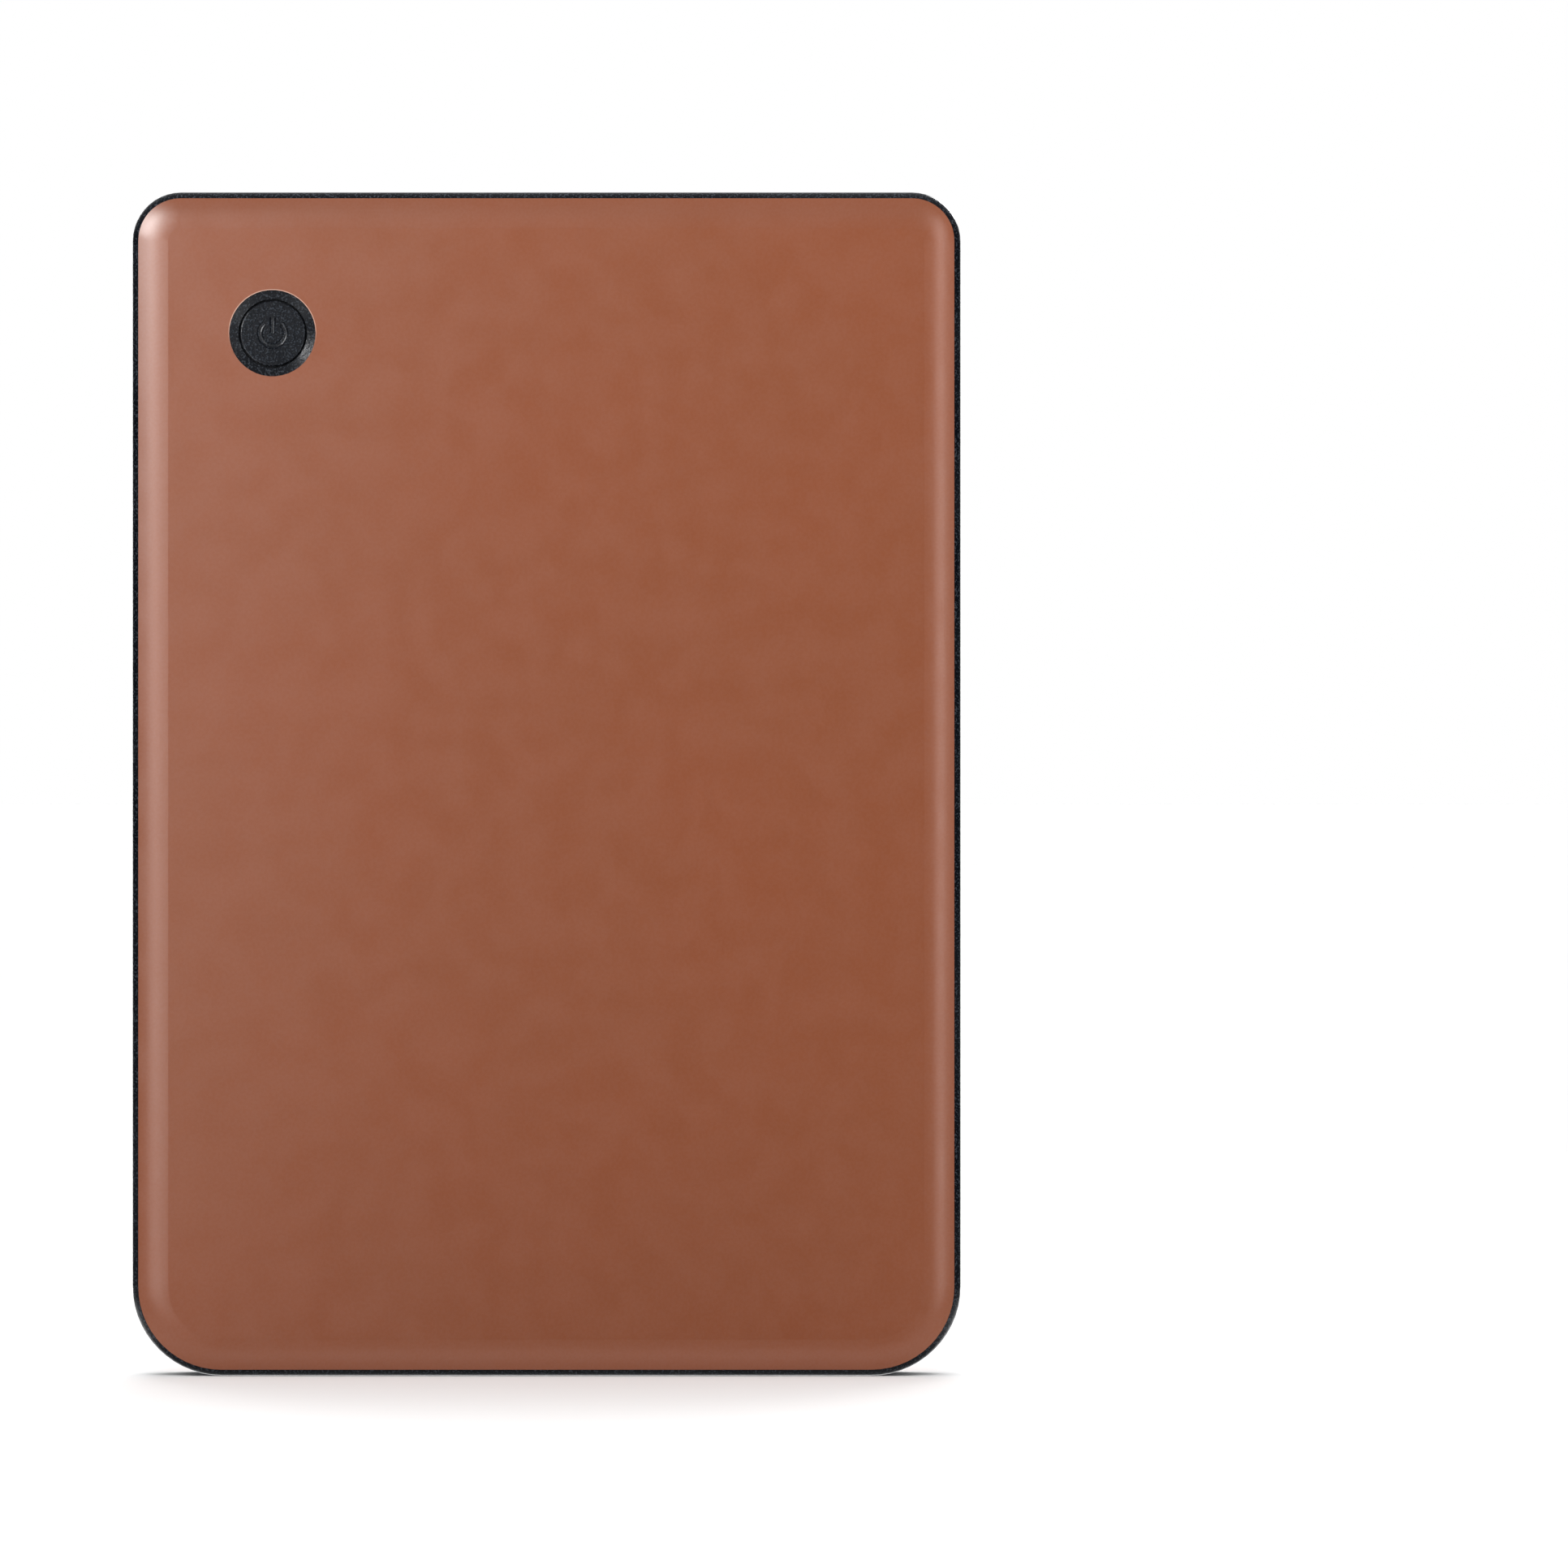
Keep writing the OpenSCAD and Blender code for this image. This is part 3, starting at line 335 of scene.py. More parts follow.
PAGE = (0.555, 0.558, 0.556)
INK = (0.085, 0.085, 0.088)
INK_LIGHT = (0.255, 0.255, 0.26)
RULE_INK = (0.44, 0.44, 0.44)
TITLE_INK = (0.47, 0.46, 0.43)
EPAPER_GRAIN = 5200


def epaper_colour(s, colour, amount=0.05):
    """Breaks a printed colour into the faint grain of coloured e-paper."""
    grain = s.fit(s.noise(EPAPER_GRAIN, 1.0), 0.35, 0.65)
    return s.mix(s.sums("MULTIPLY", grain, amount), colour, BLACK)


def matt_screen(s, colour):
    """The finish of the anti-glare film over whatever the page shows."""
    s.set(base_color=colour)
    s.set(roughness=s.fit(s.noise(2400, 2.0), 0.3, 0.7, 0.52, 0.60))
    s.specular(0.2)
    s.bump(s.noise(6000, 1.0), 0.002 * MM, 0.5)
    return s.material


def page_ink(name, colour):
    s = Shader(name)
    return matt_screen(s, epaper_colour(s, colour))


def screen_film():
    """The page's background, with the very faint clouds of an e-paper sheet."""
    s = Shader("screen_film")
    clouds = s.fit(s.noise(55, 2.0), 0.3, 0.7)
    ground = s.mix(clouds, PAGE, blend_of(PAGE, 0.05, WHITE))
    return matt_screen(s, epaper_colour(s, ground, 0.02))


def epaper():
    """The e-paper layer itself, under the touch film."""
    s = Shader("epaper")
    s.set(base_color=epaper_colour(s, (0.70, 0.70, 0.68), 0.08), roughness=0.8)
    s.bump(s.noise(EPAPER_GRAIN, 2.0), 0.002 * MM, 0.6)
    return s.material


def backplane():
    """Thin glass with fine lines of printed circuits under it."""
    s = Shader("backplane")
    lines = s.fit(s.stripes(900), 0.6, 0.9)
    s.set(base_color=s.mix(lines, (0.18, 0.22, 0.21), (0.34, 0.40, 0.36)), roughness=0.18)
    s.bump(lines, 0.002 * MM, 0.3)
    return s.material


# ---------------------------------------------------------------- materials inside

def metal(name, colour, roughness, brushed=(1, 1, 1), grain_scale=900, depth=0.004 * MM, dull=None):
    """Sheet or turned metal: brushed or blasted grain, and stains of a duller colour."""
    s = Shader(name)
    grain = s.noise(grain_scale, 3.0, s.mapped(s.place.outputs["Object"], brushed))
    stain = s.fit(s.noise(120, 3.0), 0.45, 0.75)
    s.set(base_color=s.mix(stain, colour, dull or blend_of(colour, 0.3, BLACK)), metallic=1.0)
    s.set(roughness=s.fit(grain, 0.3, 0.7, roughness - 0.07, roughness + 0.10))
    s.bump(grain, depth, 0.6)
    return s.material


def moulded(name, colour, roughness, other=None, grain_scale=1800, depth=0.006 * MM):
    """Plain moulded or printed stuff: a little uneven in colour, with a fine surface."""
    s = Shader(name)
    clouds = s.fit(s.noise(grain_scale * 0.12, 3.0), 0.35, 0.7)
    s.set(base_color=s.mix(clouds, colour, other or blend_of(colour, 0.25, BLACK)))
    s.set(roughness=s.fit(s.noise(grain_scale * 0.5, 2.0), 0.3, 0.7, roughness - 0.06, roughness + 0.08))
    s.bump(s.noise(grain_scale, 2.0), depth, 0.5)
    return s.material


def circuit_board():
    """Green solder mask over copper tracks, with gold pads."""
    s = Shader("circuit_board")
    tracks = s.cells(420, feature="DISTANCE_TO_EDGE").outputs["Distance"]
    lines = s.fit(tracks, 0.05, 0.09, 1.0, 0.0)
    dots = s.fit(s.cells(650).outputs["Distance"], 0.13, 0.17, 1.0, 0.0)
    green = s.mix(lines, (0.010, 0.075, 0.035), (0.022, 0.135, 0.062))
    s.set(base_color=s.mix(dots, green, (0.62, 0.42, 0.14)), roughness=0.32)
    s.bump(s.sums("MAXIMUM", lines, dots), 0.02 * MM, 0.6)
    return s.material


def ribbon_film():
    """Amber film over fine copper lines."""
    s = Shader("ribbon_film")
    lines = s.fit(s.stripes(260), 0.45, 0.6)
    s.set(base_color=s.mix(lines, (0.36, 0.13, 0.02), (0.62, 0.30, 0.07)), roughness=0.25)
    s.bump(lines, 0.01 * MM, 0.5)
    return s.material


def foam():
    """Dark closed-cell foam."""
    s = Shader("foam")
    bubbles = s.cells(1500).outputs["Distance"]
    colour = s.mix(s.fit(bubbles, 0.2, 0.8), (0.035, 0.036, 0.04), (0.10, 0.10, 0.11))
    s.set(base_color=colour, roughness=0.9)
    s.bump(bubbles, 0.06 * MM, 0.8)
    return s.material


def cell_pouch():
    """Satin laminate foil with soft wrinkles."""
    s = Shader("cell_pouch")
    wrinkles = s.noise(70, 3.0, distortion=0.6)
    s.set(base_color=s.mix(s.fit(wrinkles, 0.4, 0.7), (0.42, 0.43, 0.44), (0.56, 0.57, 0.58)))
    s.set(metallic=0.85, roughness=s.fit(s.noise(900, 2.0), 0.3, 0.7, 0.30, 0.42))
    s.bump(wrinkles, 0.12 * MM, 0.5)
    return s.material


def led_resin():
    """Yellow phosphor resin over the LEDs, which are off."""
    s = Shader("led_resin")
    grains = s.fit(s.noise(2600, 2.0), 0.35, 0.7)
    colour = s.mix(grains, (0.82, 0.74, 0.36), (0.92, 0.88, 0.62))
    s.set(base_color=colour, roughness=0.35)
    s.bump(grains, 0.004 * MM, 0.4)
    return s.material


def dress():
    """Gives every CAD node the material of its slot."""
    steel_brush = (1, 1, 12)
    made = {
        "vinyl_skin": vinyl(),
        # The last number of each textured plastic is the share of its painted glints.
        "black_plastic": textured_plastic("black_plastic", BLACK_PLASTIC, 0.20, 3600, 0.026 * MM, 0.045),
        "button_plastic": textured_plastic("button_plastic", BLACK_PLASTIC, 0.19, 3900, 0.020 * MM, 0.045),
        "silicone": silicone(),
        "steel": metal("steel", (0.58, 0.59, 0.60), 0.26, steel_brush),
        "clear_plastic": clear_plastic(),
        "screen_film": screen_film(),
        "tape": moulded("tape", (0.022, 0.022, 0.022), 0.6, (0.04, 0.04, 0.04)),
        "ribbon_film": ribbon_film(),
        "led_resin": led_resin(),
        "epaper": epaper(),
        "backplane": backplane(),
        "chip_resin": moulded("chip_resin", (0.022, 0.023, 0.026), 0.55, (0.035, 0.036, 0.04), 2400),
        "foam": foam(),
        "magnesium": metal("magnesium", (0.42, 0.43, 0.44), 0.48, grain_scale=1800, depth=0.02 * MM),
        "cell_pouch": cell_pouch(),
        "circuit_board": circuit_board(),
        "red_wire": moulded("red_wire", (0.45, 0.025, 0.02), 0.38),
        "cream_plastic": moulded("cream_plastic", (0.78, 0.74, 0.62), 0.45, (0.70, 0.66, 0.54)),
        "shield_metal": metal("shield_metal", (0.62, 0.63, 0.64), 0.30, (8, 1, 1)),
        "component_ceramic": moulded("component_ceramic", (0.44, 0.31, 0.18), 0.42),
        "socket_plastic": moulded("socket_plastic", (0.028, 0.024, 0.02), 0.5),
        "port_metal": metal("port_metal", (0.57, 0.58, 0.60), 0.32, steel_brush),
        "gold": metal("gold", (0.80, 0.56, 0.22), 0.24, dull=(0.70, 0.44, 0.15)),
        "black_wire": moulded("black_wire", (0.012, 0.012, 0.013), 0.42),
    }
    for part in frame["record"]["subparts"]:
        for place in frame["nodes"][part["node"]].material_slots:
            place.material = made[part["material_slot"]]


# ---------------------------------------------------------------- flat shapes of the page
# A shape is (points, faces): points are (x, z) in millimetres, faces are lists of point numbers.

def polygon(points):
    return points, [list(range(len(points)))]


def bar(x, z, wide, high, r=0.0):
    """Rectangle round a middle, with round corners of radius r."""
    if r <= 0:
        return polygon([(x - wide / 2, z - high / 2), (x + wide / 2, z - high / 2),
                        (x + wide / 2, z + high / 2), (x - wide / 2, z + high / 2)])
    points = []
    for turn, (sx, sz) in enumerate(((-1, -1), (1, -1), (1, 1), (-1, 1))):
        cx, cz = x + sx * (wide / 2 - r), z + sz * (high / 2 - r)
        for i in range(CORNER_STEPS + 1):
            a = math.pi * (1 + turn / 2) + math.pi / 2 * i / CORNER_STEPS
            points.append((cx + r * math.cos(a), cz + r * math.sin(a)))
    return polygon(points)


def disc(x, z, r):
    turns = [2 * math.pi * i / ROUND_STEPS for i in range(ROUND_STEPS)]
    return polygon([(x + r * math.cos(a), z + r * math.sin(a)) for a in turns])


def arc(x, z, r, line, start=0, end=360):
    """Part of a ring whose line is centred on radius r, between two angles in degrees."""
    whole = end - start >= 360
    steps = max(4, round(ROUND_STEPS * (end - start) / 240))
    count = steps if whole else steps + 1
    points = []
    for i in range(count):
        a = math.radians(start + (end - start) * i / steps)
        for radius in (r - line / 2, r + line / 2):
            points.append((x + radius * math.cos(a), z + radius * math.sin(a)))
    faces = []
    for i in range(steps):
        j = (i + 1) % count
        faces.append([2 * i, 2 * i + 1, 2 * j + 1, 2 * j])
    return points, faces


def stroke(x0, z0, x1, z1, line):
    """Straight line with round ends."""
    turn = math.atan2(z1 - z0, x1 - x0)
    points = []
    for cx, cz, first in ((x1, z1, turn - math.pi / 2), (x0, z0, turn + math.pi / 2)):
        for i in range(END_STEPS + 1):
            a = first + math.pi * i / END_STEPS
            points.append((cx + line / 2 * math.cos(a), cz + line / 2 * math.sin(a)))
    return polygon(points)


def sheet_piece(name, shapes, material, level=0):
    """Thin closed slabs on the film's front, one for each shape. Level 1 lies on level 0, nearer
    the reader."""
    bm = bmesh.new()
    front = PAGE_Y - LAYER * (level + 1)
    back = PAGE_Y - LAYER * level
    for points, faces in shapes:
        rings = [[bm.verts.new((x * MM, y, z * MM)) for x, z in points] for y in (front, back)]
        edges = {}
        for face in faces:
            bm.faces.new([rings[0][i] for i in face])
            bm.faces.new([rings[1][i] for i in reversed(face)])
            for a, b in zip(face, face[1:] + face[:1]):
                edges[(a, b)] = edges.get((a, b), 0) + 1
        for a, b in edges:
            if (b, a) not in edges:
                bm.faces.new([rings[0][b], rings[0][a], rings[1][a], rings[1][b]])
    bmesh.ops.recalc_face_normals(bm, faces=bm.faces)
    mesh = bpy.data.meshes.new(name)
    bm.to_mesh(mesh)
    bm.free()
    piece = bpy.data.objects.new(name, mesh)
    bpy.context.scene.collection.objects.link(piece)
    mesh.materials.append(material)
    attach(piece, "casing")


# ---------------------------------------------------------------- the page's layout, in millimetres
# x runs from the screen's middle, z from the bottom edge

WINDOW_WIDE = 91.1
ICON_Z = 143.4
ICON_XS = [11.7, 18.7, 25.7, 32.8, 39.8]
ICON_LINE = 0.36
COVER_WIDTH = 17.85
COVER_LOW, COVER_HIGH = 107.4, 135.2
COVER_XS = [-32.05, -10.65, 10.65, 32.05]
COVER_NAME_Z = 104.3
COVER_NOTE_Z = 100.3
COLUMN_LEFT = [-41.4, 1.1]
COLUMN_WIDTH = 40.5
STACK_LEFT = [-40.8, 1.1]
STACK_LOW = 68.1
STACK_WIDTHS = [17.5, 11.0, 10.8]
STACK_HIGHS = [92.8, 91.4, 88.5]
STACK_NAME_Z = 64.7
STACK_NOTE_Z = 61.0
RULE_Z = 53.5
RULE_LINE = 0.2
NEWS_Z = [49.6, 46.3]
NEWS_NOTE_Z = 42.4
NAV_LINE_Z = 34.5
NAV_LINE = 0.22
NAV_XS = [-34.6, -11.5, 11.5, 34.6]
NAV_ICON_Z = 31.2
NAV_LABEL_Z = 27.8

# Blocks that stand for text: heights of the two sizes, then the gap between words, a block's pitch
# and the height of the blocks after the first, each as a share of the height, and a block's share
# of its pitch
TEXT_HIGH = 1.5
TEXT_SMALL = 1.05
WORD_GAP = 0.62
BLOCK_PITCH = 0.66
BLOCK_LOW = 0.74
BLOCK_SHARE = 0.70


def word(x, z, wide, high, low=BLOCK_LOW, pitch=BLOCK_PITCH):
    """A word without letters: a row of blocks from x to the right, with the first at full height
    and the others at a share of it."""
    count = max(2, round(wide / (pitch * high)))
    step = wide / count
    shapes = []
    for i in range(count):
        tall = high if i == 0 else low * high
        shapes.append(bar(x + step * (i + 0.5), z - (high - tall) / 2, BLOCK_SHARE * step, tall))
    return shapes


def words(x, z, high, widths, low=BLOCK_LOW):
    """A line of such words."""
    shapes = []
    for wide in widths:
        shapes += word(x, z, wide, high, low)
        x += wide + high * WORD_GAP
    return shapes


def note(x, z, widths):
    """A small line of words whose blocks are all of one height."""
    return words(x, z, TEXT_SMALL, widths, low=1.0)


def sun_icon(x, z):
    """Ring with eight rays."""
    ring, ray_from, ray_to, rays = 0.82, 1.38, 1.72, 8
    shapes = [arc(x, z, ring, ICON_LINE)]
    for i in range(rays):
        a = 2 * math.pi * i / rays
        shapes.append(stroke(x + ray_from * math.cos(a), z + ray_from * math.sin(a),
                             x + ray_to * math.cos(a), z + ray_to * math.sin(a), ICON_LINE))
    return shapes


def waves_icon(x, z):
    """Dot with three arcs over it."""
    foot = z - 1.25
    return [disc(x, foot, 0.28)] + [arc(x, foot, r, ICON_LINE, 45, 135) for r in (0.95, 1.65, 2.35)]


def battery_icon(x, z):
    """Outline, filling and contact of a battery."""
    wide, high = 3.1, 1.9
    shapes = [bar(x, z + side * high / 2, wide + ICON_LINE, ICON_LINE, 0.1) for side in (-1, 1)]
    shapes += [bar(x + side * wide / 2, z, ICON_LINE, high - ICON_LINE) for side in (-1, 1)]
    filling = bar(x - 0.15, z, wide - 1.0, high - 0.95)
    contact = bar(x - wide / 2 - 0.32, z, 0.3, 0.9)
    return shapes + [filling, contact]


def sync_icon(x, z):
    """Two arrows that chase each other round a ring."""
    ring, head = 1.45, 0.62
    shapes = []
    for turn in (0, 180):
        shapes.append(arc(x, z, ring, ICON_LINE, turn + 25, turn + 160))
        a = math.radians(turn + 20)
        cx, cz = x + ring * math.cos(a), z + ring * math.sin(a)
        tip = a - math.pi / 2
        shapes.append(polygon([(cx + head * math.cos(tip + d), cz + head * math.sin(tip + d))
                               for d in (0, 2.3, -2.3)]))
    return shapes


def lens_icon(x, z):
    """Magnifying glass."""
    handle = stroke(x + 0.65, z - 0.65, x + 1.55, z - 1.55, ICON_LINE)
    return [arc(x - 0.25, z + 0.25, 1.15, ICON_LINE), handle]


def compass_icon(x, z):
    """Ring with a slanting needle."""
    ring, r, line = 1.42, 0.85, 0.26
    needle = [(x + r * 0.75, z + r * 0.75), (x - r * 0.30, z + r * 0.30),
              (x - r * 0.75, z - r * 0.75), (x + r * 0.30, z - r * 0.30)]
    lines = [stroke(*a, *b, line) for a, b in zip(needle, needle[1:] + needle[:1])]
    return [arc(x, z, ring, ICON_LINE)] + lines


def menu_icon(x, z):
    """Three level lines."""
    half, line = 1.3, 0.3
    return [stroke(x - half, z + step, x + half, z + step, line) for step in (-1.1, 0, 1.1)]


def house_icon(x, z):
    """Roof over two walls and a floor."""
    half, foot = 1.05, z - 1.35
    outline = [(-1.5, 0.1), (0, 1.45), (1.5, 0.1)]
    roof = [stroke(x + a[0], z + a[1], x + b[0], z + b[1], ICON_LINE)
            for a, b in zip(outline, outline[1:])]
    walls = [stroke(x + side, z + 0.2, x + side, foot, ICON_LINE) for side in (-half, half)]
    return roof + walls + [stroke(x - half, foot, x + half, foot, ICON_LINE)]


def shelf_icon(x, z):
    """Books on a shelf, the last one leaning."""
    book, shelf = 0.34, 0.3
    upright = [stroke(x + step, z - 1.2, x + step, z + 1.3, book) for step in (-1.2, -0.45)]
    leaning = stroke(x + 0.35, z - 1.1, x + 1.25, z + 1.15, book)
    return upright + [leaning, stroke(x - 1.6, z - 1.5, x + 1.7, z - 1.5, shelf)]


def page_icons(ink):
    """The row of icons at the top and the one at the bottom, with its labels."""
    top = (sun_icon, waves_icon, battery_icon, sync_icon, lens_icon)
    for draw, x in zip(top, ICON_XS):
        sheet_piece("page_" + draw.__name__, draw(x, ICON_Z), ink)
    for draw, x in zip((house_icon, shelf_icon, compass_icon, menu_icon), NAV_XS):
        sheet_piece("page_" + draw.__name__, draw(x, NAV_ICON_Z), ink)
    shapes = []
    for x, widths in zip(NAV_XS, ([4.2], [4.6, 2.4], [6.6], [4.0])):
        long = sum(widths) + WORD_GAP * TEXT_SMALL * (len(widths) - 1)
        shapes += words(x - long / 2, NAV_LABEL_Z, TEXT_SMALL, widths)
    sheet_piece("page_nav_labels", shapes, ink)


def page_rules(rule):
    """The line over the bottom icons, and one over each column's news."""
    shapes = [bar(0, NAV_LINE_Z, WINDOW_WIDE, NAV_LINE)]
    shapes += [bar(left + COLUMN_WIDTH / 2, RULE_Z, COLUMN_WIDTH, RULE_LINE) for left in COLUMN_LEFT]
    sheet_piece("page_rules", shapes, rule)


def page_text(ink, ink_light):
    """The rows of blocks that stand for lines of text."""
    shapes = []
    for x in COVER_XS:
        shapes += words(x - COVER_WIDTH / 2, COVER_NAME_Z, TEXT_HIGH, [4.0, 5.0])
    for left in COLUMN_LEFT:
        shapes += words(left, STACK_NAME_Z, TEXT_HIGH, [7.0])
        for z, widths in zip(NEWS_Z, ([4.6, 7.2, 4.2, 3.2, 3.6, 2.4, 4.4], [8.6])):
            shapes += words(left, z, TEXT_HIGH, widths)
    sheet_piece("page_text_dark", shapes, ink)
    shapes = []
    for x, widths in ((COVER_XS[0], [1.2, 5.6, 2.2, 2.6]), (COVER_XS[3], [1.0, 6.2, 2.2, 3.0])):
        shapes += note(x - COVER_WIDTH / 2, COVER_NOTE_Z, widths)
    for left in COLUMN_LEFT:
        shapes += note(left, STACK_NOTE_Z, [5.0, 7.4, 6.6])
        shapes += note(left, NEWS_NOTE_Z, [7.8])
    sheet_piece("page_text_light", shapes, ink_light)


# ---------------------------------------------------------------- book covers of the page

# Grey over the covers' colours, how much of it, and how strong their grain is
GREY_VEIL = (0.35, 0.35, 0.345)
VEIL = 0.40
COVER_GRAIN = 0.22
# Pitch of a title's blocks, as a share of their height
TITLE_PITCH = 0.78


class Cover(Shader):
    """Printed art whose u and v run from 0 to 1 over the cover."""

    def __init__(self, name, x, low, wide, high):
        super().__init__(name)
        scale = (1 / (wide * MM), 1, 1 / (high * MM))
        corner = (-(x - wide / 2) / wide, 0, -low / high)
        self.where = self.mapped(self.place.outputs["Object"], scale, corner)
        self.u, _, self.v = self.axes(self.where)
        self.tall = high / wide

    def square(self, shift=0.0):
        """The same place in units of the cover's width, so that patterns aren't stretched. A shift
        picks another part of the pattern."""
        return self.mapped(self.where, (1, 1, self.tall), (shift, shift, shift))

    def away(self, u, v):
        """Distance from a point of the cover, in cover widths."""
        dv = self.sums("MULTIPLY", self.sums("SUBTRACT", self.v, v), self.tall)
        return self.distance(self.sums("SUBTRACT", self.u, u), dv)

    def done(self, colour):
        """Mutes the colour as e-paper does, and gives it the screen's finish."""
        return matt_screen(self, epaper_colour(self, self.mix(VEIL, colour, GREY_VEIL), COVER_GRAIN))


def art_reeds(cover, sky, water, reed):
    """Dark upright reeds between two colours."""
    edge = cover.noise(5, 2.0, cover.square())
    level = cover.sums("ADD", cover.v, cover.sums("MULTIPLY", edge, 0.35))
    ground = cover.ramp(level, [(0.0, water), (0.72, water), (0.98, sky), (1.0, sky)])
    stems = cover.noise(1.0, 2.0, cover.mapped(cover.where, (13, 1, 1.1)), distortion=0.3)
    fade = cover.fit(cover.v, 0.62, 0.92, 1.0, 0.0)
    return cover.mix(cover.sums("MULTIPLY", cover.fit(stems, 0.50, 0.56), fade), ground, reed)


def art_patches(cover, colours):
    """Irregular patches of flat colour, like cut paper."""
    cells = cover.cells(3.4, cover.square(4.2))
    pick = cover.axes(cells.outputs["Color"])[0]
    stops = [(i / len(colours), colour) for i, colour in enumerate(colours)]
    return cover.ramp(pick, stops, smooth=False)


def art_moon(cover, ground, shade, ring, heart):
    """A ringed disc on a dark thicket."""
    leaves = cover.fit(cover.noise(9, 3.0, cover.square(), distortion=1.2), 0.42, 0.6)
    colour = cover.mix(leaves, ground, shade)
    away = cover.away(0.5, 0.5)
    colour = cover.mix(cover.fit(away, 0.30, 0.32, 1.0, 0.0), colour, ring)
    return cover.mix(cover.fit(away, 0.21, 0.23, 1.0, 0.0), colour, heart)


def art_blossoms(cover, ground, petal, leaf, heart):
    """Round blossoms and leaves scattered over a plain ground."""
    leaves = cover.fit(cover.noise(6, 1.0, cover.square(2.1)), 0.54, 0.56)
    colour = cover.mix(leaves, ground, leaf)
    cells = cover.cells(3.0, cover.square(0.8))
    ripple = cover.sums("MULTIPLY", cover.noise(12, 0.0, cover.square()), 0.16)
    away = cover.sums("ADD", cells.outputs["Distance"], ripple)
    colour = cover.mix(cover.fit(away, 0.40, 0.42, 1.0, 0.0), colour, petal)
    return cover.mix(cover.fit(away, 0.18, 0.20, 1.0, 0.0), colour, heart)


def art_brushwork(cover, colours):
    """Loose level brush strokes."""
    strokes = cover.noise(1.6, 4.0, cover.mapped(cover.where, (2.2, 1, 6.5)), distortion=0.8)
    stops = [(0.32 + 0.36 * i / (len(colours) - 1), colour) for i, colour in enumerate(colours)]
    return cover.ramp(strokes, stops)


def art_shore(cover, sky, sea, sand, wood):
    """Bands of sky, sea and sand, with dark trunks in front."""
    ripple = cover.sums("MULTIPLY", cover.noise(7, 3.0, cover.square()), 0.25)
    bands = [(0.0, wood), (0.22, sand), (0.50, sand), (0.60, sea), (0.74, sky), (1.0, sky)]
    colour = cover.ramp(cover.sums("ADD", cover.v, ripple), bands)
    trunks = cover.noise(1.0, 1.0, cover.mapped(cover.where, (7, 1, 1.2)))
    low = cover.fit(cover.v, 0.35, 0.75, 1.0, 0.0)
    return cover.mix(cover.sums("MULTIPLY", cover.fit(trunks, 0.56, 0.60), low), colour, wood)


def art_arch(cover, top, middle, low, arch):
    """Plain rings before a sunset."""
    colour = cover.ramp(cover.v, [(0.0, low), (0.35, low), (0.62, middle), (1.0, top)])
    away = cover.away(0.5, 0.42)
    band = cover.fit(cover.sums("PINGPONG", away, 0.07), 0.03, 0.045)
    near = cover.fit(away, 0.40, 0.42, 1.0, 0.0)
    return cover.mix(cover.sums("MULTIPLY", band, near), colour, arch)


TEAL = (0.055, 0.170, 0.175)
NIGHT = (0.035, 0.045, 0.060)
CREAM = (0.78, 0.74, 0.62)
SAND = (0.62, 0.48, 0.28)
ROSE = (0.62, 0.17, 0.19)
PINK = (0.78, 0.38, 0.42)
LEAF = (0.10, 0.22, 0.11)
OCHRE = (0.66, 0.42, 0.12)
SKY = (0.13, 0.42, 0.60)
BARK = (0.085, 0.050, 0.035)
RUST = (0.36, 0.12, 0.07)


def title_bars(x, low, wide, high, lines):
    """Rows of light blocks where a cover would carry its title: (v, share of the width, height) each."""
    shapes = []
    for v, share, tall in lines:
        shapes += word(x - wide * share / 2, low + v * high, wide * share, tall, low=1.0,
                       pitch=TITLE_PITCH)
    return shapes


